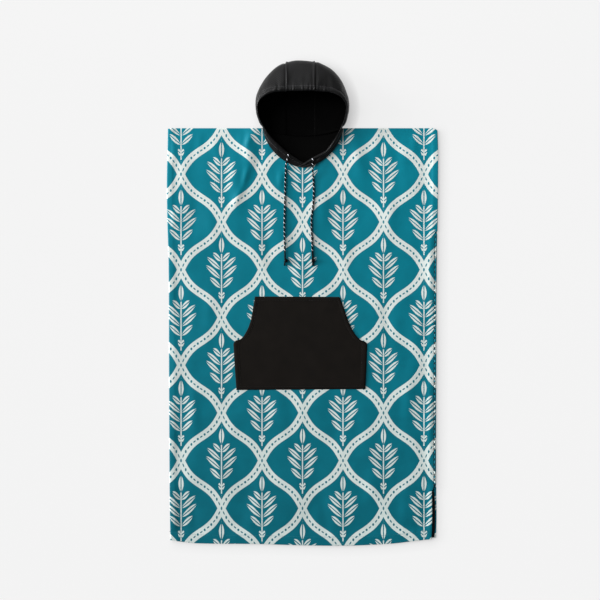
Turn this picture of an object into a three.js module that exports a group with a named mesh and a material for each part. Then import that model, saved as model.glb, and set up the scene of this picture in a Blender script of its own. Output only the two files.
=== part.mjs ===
// Hooded bath poncho, laid flat on its back with the hood open to the front.
// Millimetres, +Z up, front face up, shoulders towards +Y; the origin is the middle of the box, on the floor.
import * as THREE from 'three';

// Driving sizes of the cut pieces.
const bodyCloth = 1.2;
const hemThickness = 2 * bodyCloth;
const edgeThickness = 0.6;
const hoodCloth = 1.3;
const casingThickness = 2 * hoodCloth;
const pocketCloth = 2;
const tapeThickness = 1;
const seamGap = 0.3;
const crownSeamGap = 0.5;
const shoulderY = 484;
const hemDepth = 26;
const sideHemDepth = 14;
const bodyLoft = 2.8;
const loftReach = 70;

// Side edges of the laid body, hand-laid and so not quite straight.
const sideEdges = [
  { y: -672, left: -365, right: 368.5 },
  { y: -600, left: -366.5, right: 371 },
  { y: -480, left: -368, right: 370 },
  { y: -200, left: -369.5, right: 370.5 },
  { y: 100, left: -370.5, right: 371.5 },
  { y: 240, left: -374.5, right: 374 },
  { y: 340, left: -375.5, right: 375 },
  { y: 430, left: -373.5, right: 375 },
  { y: 490, left: -372.5, right: 372.5 },
];

// Bottom edge of the front, which sags towards the middle.
const hemEdge = [
  { x: -380, y: -655 },
  { x: -340, y: -660 },
  { x: -290, y: -665 },
  { x: -120, y: -667 },
  { x: 0, y: -670.5 },
  { x: 130, y: -671.3 },
  { x: 250, y: -665.5 },
  { x: 315, y: -658 },
  { x: 380, y: -652 },
];
const backHemInset = 3;

// Side openings: the arm slits below the shoulders and the walking vents above the hem.
const armTopY = 440;
const armBottomY = 208;
const ventTopY = -518;
const slitBlend = 8;

// The right side seam rolls the back's edge over onto the front.
const rollWidth = 6;
const rollHeight = 5.2;
const seamEdgeHeight = 5;
const ventInset = 12;
const tapeInset = 2.4;
const tapeWidth = 13;
const tapeBottomY = -648;

// Neckline of the front: half of a rounded V, and a shallow curve on the back.
const neck = { x: 1.4, halfWidth: 111, frontDrop: 109.5, backDrop: 18, roundness: 1.7 };

// Largest soft folds that stand on the laid front: middle, length, width, height, lean in degrees.
const folds = [
  { x: -146, y: 430, length: 190, width: 34, height: 3.6, lean: 9 },
  { x: -186, y: 330, length: 220, width: 44, height: 3.2, lean: -7 },
  { x: -338, y: 330, length: 330, width: 40, height: 2.6, lean: 2 },
  { x: 150, y: 412, length: 170, width: 36, height: 2.6, lean: -12 },
  { x: 348, y: 120, length: 420, width: 36, height: 2.2, lean: 1 },
  { x: -345, y: -150, length: 360, width: 34, height: 2, lean: -1 },
  { x: 52, y: 255, length: 200, width: 42, height: 2, lean: 3 },
  { x: 350, y: -330, length: 300, width: 30, height: 2, lean: 2 },
  { x: -215, y: -430, length: 260, width: 60, height: 1.6, lean: 4 },
  { x: 190, y: -470, length: 240, width: 54, height: 1.6, lean: -5 },
];

// Hood: a round outline on the floor, seen from above, with the face opening on top.
const hood = { x: -1.4, y: 544.5, seamRadius: 127, floorTurn: 14 };
const leftSeamTurn = 21.6;
const rightSeamTurn = 17.5;
const shoulderTurn = 119;
const backNeckReach = 107.5;
const casingWidth = 20;

// Rim of each side panel from the crown seam round to the shoulder.
// turn: degrees from the crown; radius: the hood's outline on the floor; out: the rim's distance from the hood's
// middle line; y and z: the rim's place; widest: height at which the wall stands furthest out.
const leftRim = [
  { turn: 21.6, radius: 128.4, out: 45, y: 578.2, z: 61, widest: 10 },
  { turn: 40, radius: 127.4, out: 79.5, y: 575, z: 59, widest: 11 },
  { turn: 60, radius: 127.1, out: 106.2, y: 563, z: 56, widest: 13 },
  { turn: 75, radius: 128.2, out: 118.2, y: 549.7, z: 53, widest: 15 },
  { turn: 90, radius: 128, out: 122.2, y: 534.5, z: 49, widest: 16 },
  { turn: 105, radius: 127.6, out: 117.6, y: 507.8, z: 41, widest: 14 },
  { turn: 119, radius: 124.6, out: 106.6, y: 486.5, z: 31, widest: 9 },
];
const rightRim = [
  { turn: 17.5, radius: 128.4, out: 38, y: 578.8, z: 61, widest: 10 },
  { turn: 27, radius: 128.2, out: 57.5, y: 577.4, z: 60.3, widest: 10.4 },
  { turn: 40, radius: 130.4, out: 81, y: 574, z: 59, widest: 11 },
  { turn: 60, radius: 128.6, out: 107, y: 562, z: 56, widest: 13 },
  { turn: 75, radius: 128.5, out: 118, y: 548, z: 53, widest: 15 },
  { turn: 90, radius: 130.9, out: 121.4, y: 533, z: 49, widest: 16 },
  { turn: 105, radius: 130.6, out: 117.4, y: 508, z: 41, widest: 14 },
  { turn: 119, radius: 128.6, out: 108.4, y: 486.5, z: 31, widest: 9 },
];
const crownRim = { radius: 125.4, y: 579.2, z: 62, widest: 10 };

// Rim of each side panel from the shoulder down the front opening to its end.
// along: share of the front neckline passed, from that shoulder; lift: clearance of the sewn edge over the front.
const leftLapel = [
  { along: 0, x: -108, y: 486.5, z: 31, lift: 0.6 },
  { along: 0.1, x: -94, y: 466, z: 23.5, lift: 0.6 },
  { along: 0.2, x: -80, y: 450.5, z: 18, lift: 0.5 },
  { along: 0.3, x: -60.5, y: 433, z: 14, lift: 0.5 },
  { along: 0.39, x: -40, y: 415.5, z: 11, lift: 0.5 },
  { along: 0.47, x: -21, y: 402.5, z: 8.8, lift: 0.5 },
  { along: 0.55, x: 3, y: 388.6, z: 7.2, lift: 0.5 },
  { along: 0.6, x: 20, y: 382.6, z: 6.6, lift: 0.5 },
];
const rightLapel = [
  { along: 0, x: 108.6, y: 486.5, z: 31, lift: 0.6 },
  { along: 0.1, x: 97.5, y: 466, z: 26, lift: 0.6 },
  { along: 0.2, x: 84.6, y: 446, z: 21, lift: 0.6 },
  { along: 0.3, x: 67.4, y: 423.6, z: 17, lift: 0.9 },
  { along: 0.385, x: 51, y: 413.4, z: 15, lift: 2.6 },
  { along: 0.45, x: 26.4, y: 401.4, z: 13.4, lift: 3 },
  { along: 0.5, x: 10, y: 390.8, z: 12.4, lift: 3 },
  { along: 0.55, x: -5, y: 381.6, z: 11.4, lift: 3 },
];
const cornerRise = 4.6;

// Kangaroo pocket outline, from its top edge down: a row for each level, left and right ends.
const pocketLevels = [
  { leftX: -131.6, leftY: 18, rightX: 102.2, rightY: 17 },
  { leftX: -137.2, leftY: -16, rightX: 113.6, rightY: -12 },
  { leftX: -144.3, leftY: -52, rightX: 127.4, rightY: -52 },
  { leftX: -155.8, leftY: -80, rightX: 143, rightY: -83 },
  { leftX: -169.5, leftY: -98.6, rightX: 159, rightY: -101.4 },
  { leftX: -191, leftY: -113.3, rightX: 179, rightY: -115.8 },
  { leftX: -187.4, leftY: -178, rightX: 176.4, rightY: -178 },
  { leftX: -183, leftY: -240.6, rightX: 173.6, rightY: -238 },
];
const pocketPuff = 2;
const pocketEdgeRound = 3;

// Drawcord: its own width, and each end's route, by x, y and, over the hood's edge, the height that it lies on.
const cordRadius = 2.4;
const leftCord = [
  { x: -39.4, y: 406.4, over: 12.4 }, { x: -42.5, y: 395, over: 10.4 }, { x: -45.6, y: 381, over: 9 },
  { x: -46.3, y: 366 }, { x: -47.2, y: 340 }, { x: -48.4, y: 310 }, { x: -48.9, y: 279 }, { x: -49.6, y: 246 },
  { x: -50.1, y: 213 }, { x: -49.4, y: 180 }, { x: -48.8, y: 148 }, { x: -48.2, y: 123.5 },
];
const rightCord = [
  { x: 28.2, y: 394.4, over: 15.2 }, { x: 28.6, y: 383, over: 13 }, { x: 28.4, y: 370, over: 11 },
  { x: 29.6, y: 345 }, { x: 30.8, y: 318 }, { x: 30.7, y: 292 }, { x: 28.4, y: 264 }, { x: 25, y: 236 },
  { x: 24.6, y: 208 }, { x: 26, y: 180 }, { x: 27, y: 150 }, { x: 28.4, y: 123.5 },
];
// Outline of the knotted cord end, from the cord to the tail tip: distance along and radius.
const knotProfile = [
  { along: 0, radius: 0 }, { along: 0, radius: 2.6 }, { along: 2, radius: 4.1 }, { along: 5, radius: 4.7 },
  { along: 8, radius: 4 }, { along: 10, radius: 2.9 }, { along: 13, radius: 2.6 }, { along: 19, radius: 3 },
  { along: 20, radius: 0 },
];

const materials = {
  print: () => new THREE.MeshStandardMaterial({ color: 0x1f7d90, roughness: 0.78, metalness: 0 }),
  hood: () => new THREE.MeshStandardMaterial({ color: 0x1e1e1f, roughness: 0.7, metalness: 0 }),
  pocket: () => new THREE.MeshStandardMaterial({ color: 0x1a1714, roughness: 0.85, metalness: 0 }),
  tape: () => new THREE.MeshStandardMaterial({ color: 0x101010, roughness: 0.8, metalness: 0 }),
  cord: () => new THREE.MeshStandardMaterial({ color: 0x15161a, roughness: 0.65, metalness: 0 }),
};

const clamp = (value, low, high) => Math.min(high, Math.max(low, value));
const smooth = (value, low, high) => THREE.MathUtils.smoothstep(value, low, high);
const mix = THREE.MathUtils.lerp;

// Smooth value of one column of a table where another column, which rises, has the given value.
function read(rows, from, to, value) {
  const last = rows.length - 1;
  const at = clamp(value, rows[0][from], rows[last][from]);
  let k = 0;
  while (k < last - 1 && rows[k + 1][from] < at) k += 1;
  const slope = (i) => {
    const low = Math.max(i - 1, 0);
    const high = Math.min(i + 1, last);
    return (rows[high][to] - rows[low][to]) / (rows[high][from] - rows[low][from]);
  };
  const span = rows[k + 1][from] - rows[k][from];
  const t = (at - rows[k][from]) / span;
  const rise = (3 - 2 * t) * t * t;
  return (
    mix(rows[k][to], rows[k + 1][to], rise) +
    span * slope(k) * t * (1 - t) ** 2 -
    span * slope(k + 1) * t * t * (1 - t)
  );
}

const leftEdge = (y) => read(sideEdges, 'y', 'left', y);
const rightEdge = (y) => read(sideEdges, 'y', 'right', y);
const frontHem = (x) => read(hemEdge, 'x', 'y', x);

// 1 where the side is sewn, 0 along the arm slit and the vent.
function sewn(y) {
  const arm = smooth(y, armBottomY - slitBlend, armBottomY) * (1 - smooth(y, armTopY, armTopY + 2 * slitBlend));
  return (1 - arm) * smooth(y, ventTopY, ventTopY + slitBlend);
}

// 1 where the back's edge rolls over onto the front, which is a little less than the sewn length.
function rolled(y) {
  const armStart = armBottomY - 2 * slitBlend;
  const armEnd = armTopY + 3 * slitBlend;
  const arm = smooth(y, armStart, armStart + slitBlend) * (1 - smooth(y, armEnd, armEnd + slitBlend));
  return (1 - arm) * smooth(y, ventTopY + slitBlend, ventTopY + 2 * slitBlend);
}

const vented = (y) => 1 - smooth(y, ventTopY, ventTopY + slitBlend);

// Depth of the neckline below the shoulder, on the front and on the back.
function frontDrop(x) {
  const share = Math.min(1, Math.abs(x - neck.x) / neck.halfWidth);
  return neck.frontDrop * (1 - share ** neck.roundness) ** (1 / neck.roundness);
}

function backDrop(x) {
  return neck.backDrop * Math.max(0, 1 - ((x - neck.x) / neck.halfWidth) ** 2);
}

function foldHeight(x, y) {
  let height = 0;
  for (const fold of folds) {
    const lean = THREE.MathUtils.degToRad(fold.lean);
    const dx = x - fold.x;
    const dy = y - fold.y;
    const across = (dx * Math.cos(lean) - dy * Math.sin(lean)) / (fold.width / 2);
    const along = (dx * Math.sin(lean) + dy * Math.cos(lean)) / (fold.length / 2);
    height += fold.height * Math.exp(-across * across) * Math.max(0, 1 - along * along) ** 1.5;
  }
  return height;
}

// Top of the back panel: plain cloth, doubled at its hems, and rolled up at the sewn right side.
function backTop(x, y) {
  const fromLeft = x - leftEdge(y);
  const fromRight = rightEdge(y) - x;
  const open = 1 - sewn(y);
  const roll = (1 - smooth(fromRight, rollWidth - 0.1, rollWidth + 0.1)) * rolled(y);
  const sideHem = Math.max(1 - smooth(fromLeft, sideHemDepth, sideHemDepth + 2),
    1 - smooth(fromRight, sideHemDepth, sideHemDepth + 2)) * open;
  const bottomHem = 1 - smooth(y - frontHem(x), hemDepth, hemDepth + 2);
  const hemmed = bodyCloth + (hemThickness - bodyCloth) * Math.max(sideHem, bottomHem);
  return mix(hemmed, rollHeight, roll) - edgeRound(fromRight, 2.2, mix(0.5, 1.6, rolled(y)));
}

// How far a rounded edge has dropped at a distance from it.
function edgeRound(distance, radius, drop) {
  const inward = clamp(distance / radius, 0, 1);
  return drop * (1 - Math.sqrt(1 - (1 - inward) ** 2));
}

// Inner right edge of the front panel: beside the rolled seam, over the arm slit's hem, or clear of the vent tape.
function frontRight(y) {
  const roll = rollWidth + 0.5;
  return rightEdge(y) - mix(mix(1, roll, sewn(y)), ventInset, vented(y));
}

// Thickness of the front panel, with its hems and the allowance along its side seams.
function frontThickness(x, y) {
  const fromSide = Math.min(x - leftEdge(y), frontRight(y) - x);
  const sideHem = 1 - smooth(fromSide, sideHemDepth, sideHemDepth + 4);
  const bottomHem = 1 - smooth(y - frontHem(x), hemDepth, hemDepth + 2);
  return bodyCloth + (hemThickness - bodyCloth) * Math.max(sideHem, bottomHem);
}

// Underside of the front panel, before its left and shoulder edges turn down.
function frontUnder(x, y) {
  const fromSide = Math.min(x - leftEdge(y), rightEdge(y) - x);
  const fromHem = y - frontHem(x);
  const fromShoulder = shoulderY - y;
  const inside = smooth(fromSide, 0, loftReach) * smooth(fromHem, 0, loftReach) * smooth(fromShoulder, -20, 60);
  const tapeEdge = tapeInset + tapeWidth;
  const tape = (tapeThickness + seamGap) * vented(y - 10) * (1 - smooth(fromSide, tapeEdge + 4, tapeEdge + 12));
  const sideLift = (seamEdgeHeight - hemThickness - bodyCloth - seamGap) * sewn(y)
    * (1 - smooth(fromSide, 10, 34));
  const hem = Math.max(1 - smooth(fromSide, sideHemDepth + 2, sideHemDepth + 8),
    1 - smooth(fromHem, hemDepth + 2, hemDepth + 12)) * (hemThickness - bodyCloth);
  return bodyCloth + seamGap + bodyLoft * inside + foldHeight(x, y) * smooth(fromSide, 0, 20)
    + Math.max(tape + hem, sideLift, hem);
}

function frontTop(x, y) {
  const fromEdge = Math.min(x - leftEdge(y), shoulderY - y);
  const rounded = edgeRound(fromEdge, 2.6, 1.8) + edgeRound(Math.min(frontRight(y) - x, y - frontHem(x)), 1.6, 0.8);
  return Math.max(frontUnder(x, y) + frontThickness(x, y) - rounded, frontBottom(x, y) + edgeThickness);
}

// Underside with the turned-down lip, which meets the back panel's edge.
function frontBottom(x, y) {
  const fromEdge = Math.min((x - leftEdge(y)) / Math.max(sewn(y), 0.01), shoulderY - y);
  const lip = 1 - smooth(fromEdge, bodyCloth, bodyCloth + 0.6);
  return mix(frontUnder(x, y), backTop(x, y) + seamGap, lip);
}

// Closed wall between two grids of points, columns by rows, with its faces turned outwards.
function wall(columns, rows, outer, inner) {
  const positions = [];
  for (const face of [outer, inner]) {
    for (let j = 0; j < rows; j += 1) {
      for (let i = 0; i < columns; i += 1) positions.push(...face(i, j).toArray());
    }
  }
  const at = (i, j, side) => side * columns * rows + j * columns + i;
  const index = [];
  const quad = (a, b, c, d) => index.push(a, b, c, a, c, d);
  for (let j = 0; j < rows - 1; j += 1) {
    for (let i = 0; i < columns - 1; i += 1) {
      quad(at(i, j, 0), at(i + 1, j, 0), at(i + 1, j + 1, 0), at(i, j + 1, 0));
      quad(at(i, j, 1), at(i, j + 1, 1), at(i + 1, j + 1, 1), at(i + 1, j, 1));
    }
  }
  for (let i = 0; i < columns - 1; i += 1) {
    quad(at(i, 0, 1), at(i + 1, 0, 1), at(i + 1, 0, 0), at(i, 0, 0));
    quad(at(i, rows - 1, 0), at(i + 1, rows - 1, 0), at(i + 1, rows - 1, 1), at(i, rows - 1, 1));
  }
  for (let j = 0; j < rows - 1; j += 1) {
    quad(at(0, j, 0), at(0, j + 1, 0), at(0, j + 1, 1), at(0, j, 1));
    quad(at(columns - 1, j, 1), at(columns - 1, j + 1, 1), at(columns - 1, j + 1, 0), at(columns - 1, j, 0));
  }
  const geometry = new THREE.BufferGeometry();
  geometry.setAttribute('position', new THREE.Float32BufferAttribute(positions, 3));
  geometry.setIndex(signedVolume(positions, index) < 0 ? index.reverse() : index);
  geometry.computeVertexNormals();
  return geometry;
}

function signedVolume(positions, index) {
  const corner = (k) => new THREE.Vector3().fromArray(positions, 3 * index[k]);
  let sum = 0;
  for (let k = 0; k < index.length; k += 3) sum += corner(k).dot(corner(k + 1).cross(corner(k + 2)));
  return sum / 6;
}

// Panel that lies on the floor: a plan of columns and rows, with a height for its upper and lower face.
function layer(columns, rows, plan, top, bottom) {
  const lift = (height) => (i, j) => {
    const [x, y] = plan(i, j);
    return new THREE.Vector3(x, y, height(x, y));
  };
  return wall(columns, rows, lift(top), lift(bottom));
}

// Evenly spread numbers, both ends included.
function spread(from, to, steps) {
  return Array.from({ length: steps + 1 }, (_, k) => mix(from, to, k / steps));
}

// Columns that follow the neckline: closer together where it is steep.
function neckColumns(steps) {
  return spread(-90, 90, steps).map((turn) => {
    const s = Math.sin(THREE.MathUtils.degToRad(turn));
    return neck.x + neck.halfWidth * Math.sign(s) * Math.abs(s) ** 1.1;
  });
}

// Distances from the edges at which the cloth changes: its rounded edge, its lip and its hems.
const leftSteps = [0, 0.6, 1.2, 1.8, 3, 14, 19];
const rightSteps = [19, 14, 3, 1.6, 0.7, 0];
const shoulderSteps = [22, 8, 3, 1.8, 1.2, 0.6, 0];
const hemSteps = [0, 0.7, 1.6, 26, 29, 42];
const slitRows = [
  ventTopY - 12, ventTopY, ventTopY + slitBlend, ventTopY + 2 * slitBlend,
  armBottomY - 2 * slitBlend, armBottomY - slitBlend, armBottomY,
];
const plainRows = [-590, -440, -360, -280, -200, -120, -40, 40, 115, 270];
const yokeBottom = 340;
const yokeShares = [0.28, 0.54, 0.76];

// Rows of a laid panel, from its hem to its shoulder or neckline at the height given.
function panelRows(hem, top, topSteps) {
  const middle = [...slitRows, ...plainRows].sort((a, b) => a - b);
  const yoke = yokeShares.map((share) => mix(yokeBottom, top - topSteps[0], share));
  return [...hemSteps.map((d) => hem + d), ...middle, yokeBottom, ...yoke, ...topSteps.map((d) => top - d)];
}

const bodyColumns = [...spread(-338, -129, 9), ...neckColumns(12), ...spread(131, 330, 9)];

// Grid of the front: x is measured from the edges near them, and set by the neckline in the middle.
function buildFront() {
  const count = leftSteps.length + bodyColumns.length + rightSteps.length;
  const rowsAt = (x) => panelRows(frontHem(x), shoulderY - frontDrop(x), shoulderSteps);
  const columnX = (i, y) => {
    const k = i - leftSteps.length;
    if (k < 0) return leftEdge(y) + leftSteps[i];
    if (k < bodyColumns.length) return bodyColumns[k];
    return frontRight(y) - rightSteps[k - bodyColumns.length];
  };
  const plan = (i, j) => {
    const y = rowsAt(columnX(i, 0))[j];
    return [columnX(i, y), y];
  };
  return layer(count, rowsAt(0).length, plan, frontTop, frontBottom);
}

const backLeftSteps = [0, 14, 16];
const backRightSteps = [16, 14, 6.1, 5.9, 1.1, 0.3, 0];
const backTopSteps = [22, 0];
const backColumns = [-250, ...neckColumns(12), 250];

function buildBack() {
  const count = backLeftSteps.length + backColumns.length + backRightSteps.length;
  const rowsAt = (x) => panelRows(frontHem(x) + backHemInset, shoulderY - backDrop(x), backTopSteps);
  const inset = 0.6;
  const columnX = (i, y) => {
    const k = i - backLeftSteps.length;
    if (k < 0) return leftEdge(y) + inset + backLeftSteps[i];
    if (k < backColumns.length) return backColumns[k];
    return rightEdge(y) - backRightSteps[k - backColumns.length];
  };
  const plan = (i, j) => {
    const y = rowsAt(columnX(i, 0))[j];
    return [columnX(i, y), y];
  };
  return layer(count, rowsAt(0).length, plan, backTop, () => 0);
}

// Black tape along a vent, lying on the back panel's hem.
function buildVentTape(side) {
  const ends = spread(ventTopY - 5, tapeBottomY, 6);
  const across = spread(tapeInset, tapeInset + tapeWidth, 3);
  const plan = (i, j) => {
    const y = ends[j];
    return [side < 0 ? leftEdge(y) + across[i] : rightEdge(y) - across[i], y];
  };
  const bed = hemThickness + seamGap;
  return layer(across.length, ends.length, plan, () => bed + tapeThickness, () => bed);
}

// Point on the front neckline at a share of its way from the left shoulder to the right one.
function frontNeck(share) {
  const turn = Math.PI * (share - 0.5);
  const s = Math.sin(turn);
  const x = neck.x + (neck.halfWidth - seamGap) * Math.sign(s) * Math.abs(s) ** (2 / neck.roundness);
  const c = Math.cos(turn) ** (2 / neck.roundness);
  return new THREE.Vector2(x, shoulderY - (neck.frontDrop - seamGap) * c);
}

// Hood section from the rim, out over the wall, under it, and along the floor to the back neckline.
function floorSection(side, turn, rim, neckX, steps) {
  const angle = THREE.MathUtils.degToRad(turn);
  const out = new THREE.Vector3(side * rim.radius * Math.sin(angle), rim.radius * Math.cos(angle), rim.widest);
  out.x += hood.x;
  out.y += hood.y;
  const top = new THREE.Vector3(hood.x + side * rim.out, rim.y, rim.z);
  const sewnEdge = new THREE.Vector3(neckX, shoulderY + 2 * seamGap - backDrop(neckX), 0);
  const inward = sewnEdge.clone().setZ(0).sub(out.clone().setZ(0));
  const room = inward.length();
  inward.normalize();
  const turnWidth = Math.min(hood.floorTurn, 0.62 * room);
  const shoulderPoint = out.clone().setZ(mix(out.z, top.z, 0.52)).lerp(top, 0.05);
  const dome = new THREE.QuadraticBezierCurve3(top, shoulderPoint, out);
  const points = spread(0, 1, steps.wall).map((t) => dome.getPoint(1 - (1 - t) ** 1.15));
  for (const t of spread(0, 1, steps.turn).slice(1)) {
    const a = (t * Math.PI) / 2;
    const point = out.clone().addScaledVector(inward, turnWidth * (1 - Math.cos(a)));
    points.push(point.setZ(rim.widest * (1 - Math.sin(a))));
  }
  const flat = points[points.length - 1];
  for (const t of spread(0, 1, steps.floor).slice(1)) points.push(flat.clone().lerp(sewnEdge, t));
  return points;
}

// Hood section of a lapel: from its rim to the front neckline.
function lapelSection(row, end, count) {
  const rim = new THREE.Vector3(row.x, row.y, row.z);
  const crest = rim.clone().lerp(end, 0.45).setZ(mix(rim.z, end.z, 0.28));
  const curve = new THREE.QuadraticBezierCurve3(rim, crest, end);
  return spread(0, 1, count - 1).map((t) => curve.getPoint(t));
}

const sectionSteps = { wall: 8, turn: 4, floor: 4 };
const sectionCount = sectionSteps.wall + sectionSteps.turn + sectionSteps.floor + 1;

function tableRow(rows, from, value) {
  return Object.fromEntries(Object.keys(rows[0]).map((key) => [key, read(rows, from, key, value)]));
}

// All sections of one side panel, from its crown seam to its front end.
function sideSections(side, rims, lapel, seamTurn) {
  const sections = [];
  const seamX = hood.x + side * hood.seamRadius * Math.sin(THREE.MathUtils.degToRad(seamTurn));
  for (const turn of spread(seamTurn, shoulderTurn - 5, 14)) {
    const share = (turn - seamTurn) / (shoulderTurn - seamTurn);
    const neckX = mix(seamX, hood.x + side * backNeckReach, share);
    sections.push(floorSection(side, turn, tableRow(rims, 'turn', turn), neckX, sectionSteps));
  }
  const last = lapel[lapel.length - 1].along;
  for (const along of spread(0, last, 13)) {
    const row = tableRow(lapel, 'along', along);
    const edge = frontNeck(side < 0 ? along : 1 - along);
    const corner = new THREE.Vector3(hood.x + side * backNeckReach, shoulderY + 3 * seamGap, cornerRise);
    const sewnEdge = new THREE.Vector3(edge.x, edge.y, frontTop(edge.x, edge.y) + row.lift + hoodCloth);
    sections.push(lapelSection(row, along === 0 ? corner : sewnEdge, sectionCount));
  }
  sections[0] = sections[0].map((point) => point.clone().setX(point.x + side * crownSeamGap));
  return sections;
}

function crownSections() {
  const sections = [];
  for (const turn of spread(-leftSeamTurn, rightSeamTurn, 6)) {
    const side = turn < 0 ? -1 : 1;
    const [rims, seam] = turn < 0 ? [leftRim, leftSeamTurn] : [rightRim, rightSeamTurn];
    const share = Math.abs(turn) / seam;
    const rim = {
      radius: mix(crownRim.radius, rims[0].radius, share * share),
      out: rims[0].out * share,
      y: mix(crownRim.y, rims[0].y, share * share),
      z: mix(crownRim.z, rims[0].z, share * share),
      widest: mix(crownRim.widest, rims[0].widest, share),
    };
    const neckX = hood.x + hood.seamRadius * Math.sin(THREE.MathUtils.degToRad(turn));
    sections.push(floorSection(side, Math.abs(turn), rim, neckX, sectionSteps));
  }
  return sections;
}

// Wall of a hood panel from the outer points of its sections, thicker along the casing at the rim.
function hoodWall(sections, facing) {
  const last = sections.length - 1;
  const normal = (i, j) => {
    const across = sections[Math.min(i + 1, last)][j].clone().sub(sections[Math.max(i - 1, 0)][j]);
    const down = sections[i][Math.min(j + 1, sectionCount - 1)].clone().sub(sections[i][Math.max(j - 1, 0)]);
    return across.cross(down).normalize().multiplyScalar(facing);
  };
  const run = (i, j) => {
    let length = 0;
    for (let k = 0; k < j; k += 1) length += sections[i][k].distanceTo(sections[i][k + 1]);
    return length;
  };
  const thickness = (i, j) => {
    const casing = Math.min(casingWidth, 0.7 * run(i, sectionCount - 1));
    return mix(casingThickness, hoodCloth, smooth(run(i, j), casing - 5, casing + 1));
  };
  const outer = (i, j) => sections[i][j].clone();
  const inner = (i, j) => outer(i, j).addScaledVector(normal(i, j), -thickness(i, j));
  return wall(sections.length, sectionCount, outer, inner);
}

const buildHoodLeft = () => hoodWall(sideSections(-1, leftRim, leftLapel, leftSeamTurn), -1);
const buildHoodRight = () => hoodWall(sideSections(1, rightRim, rightLapel, rightSeamTurn), 1);
const buildHoodCrown = () => hoodWall(crownSections(), 1);

function buildPocket() {
  const levels = [0, 0.12, 1, 2, 3, 4, 4.9, 5, 5.1, 6, 6.88, 7];
  const shares = [0, 0.012, ...spread(0.1, 0.9, 8), 0.988, 1];
  const rows = pocketLevels.map((row, level) => ({ ...row, level }));
  const ends = levels.map((level) => {
    const low = Math.min(Math.floor(level), rows.length - 2);
    const smoothEnd = (key) => read(rows, 'level', key, level);
    const straight = (key) => mix(rows[low][key], rows[low + 1][key], level - low);
    const end = level < 5 ? smoothEnd : straight;
    return { left: [end('leftX'), end('leftY')], right: [end('rightX'), end('rightY')] };
  });
  const plan = (i, j) => [0, 1].map((k) => mix(ends[j].left[k], ends[j].right[k], shares[i]));
  const middle = (i) => Math.sin(Math.PI * shares[i]);
  const height = (i, j, cloth) => {
    const [x, y] = plan(i, j);
    const nearEdge = i === 0 || j === 0 || i === shares.length - 1 || j === levels.length - 1;
    const puff = pocketPuff * middle(i) * Math.sin((Math.PI * levels[j]) / 7);
    return frontTop(x, y) + 2 * seamGap + puff + cloth - (nearEdge && cloth ? 0.7 : 0);
  };
  const face = (cloth) => (i, j) => new THREE.Vector3(...plan(i, j), height(i, j, cloth));
  return wall(shares.length, levels.length, face(pocketCloth), face(0));
}

// Middle line of a cord that lies on the hood's edge and the front.
function cordRoute(route) {
  return route.map(({ x, y, over }) => new THREE.Vector3(x, y, (over ?? frontTop(x, y)) + 2 * seamGap + cordRadius));
}

function roundSection(radius, sides) {
  const shape = new THREE.Shape();
  for (let k = 0; k < sides; k += 1) {
    const a = (2 * Math.PI * k) / sides;
    const place = [radius * Math.cos(a), radius * Math.sin(a)];
    if (k === 0) shape.moveTo(...place);
    else shape.lineTo(...place);
  }
  shape.closePath();
  return shape;
}

function buildCord(points) {
  const curve = new THREE.CatmullRomCurve3(points);
  return new THREE.ExtrudeGeometry(roundSection(cordRadius, 8), { steps: 44, extrudePath: curve, bevelEnabled: false });
}

// Overhand knot and tail at the cord's end, as one turned form that lies on the front.
function buildKnot(points) {
  const end = points[points.length - 1];
  const heading = end.clone().sub(points[points.length - 2]).setZ(0).normalize();
  const profile = knotProfile.map(({ along, radius }) => new THREE.Vector2(radius, along));
  const geometry = new THREE.LatheGeometry(profile, 12);
  geometry.applyQuaternion(new THREE.Quaternion().setFromUnitVectors(new THREE.Vector3(0, 1, 0), heading));
  const start = end.clone().addScaledVector(heading, seamGap);
  const widest = Math.max(...knotProfile.map((row) => row.radius));
  const rest = frontTop(start.x, start.y - 6) + 2 * seamGap + widest;
  geometry.translate(start.x, start.y, rest);
  return geometry;
}

const leftRoute = cordRoute(leftCord);
const rightRoute = cordRoute(rightCord);

const part = new THREE.Group();

function add(name, geometry, material) {
  const mesh = new THREE.Mesh(geometry, material());
  mesh.name = name;
  part.add(mesh);
}

add('back', buildBack(), materials.print);
add('front', buildFront(), materials.print);
add('vent_tape_left', buildVentTape(-1), materials.tape);
add('vent_tape_right', buildVentTape(1), materials.tape);
add('hood_left', buildHoodLeft(), materials.hood);
add('hood_crown', buildHoodCrown(), materials.hood);
add('hood_right', buildHoodRight(), materials.hood);
add('pocket', buildPocket(), materials.pocket);
add('drawcord_left', buildCord(leftRoute), materials.cord);
add('drawcord_right', buildCord(rightRoute), materials.cord);
add('cord_knot_left', buildKnot(leftRoute), materials.cord);
add('cord_knot_right', buildKnot(rightRoute), materials.cord);

export default part;
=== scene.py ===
"""Hooded bath poncho laid flat with its hood open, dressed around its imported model.

Lengths here are millimetres, and become metres when a mesh is made. +Y is towards the hood, +Z out of the front.
"""

import logging
import math
from dataclasses import dataclass
from enum import Enum
from typing import Callable, NamedTuple, Sequence, Union

import bmesh
import bpy
from mathutils import Matrix, Vector, noise


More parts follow.
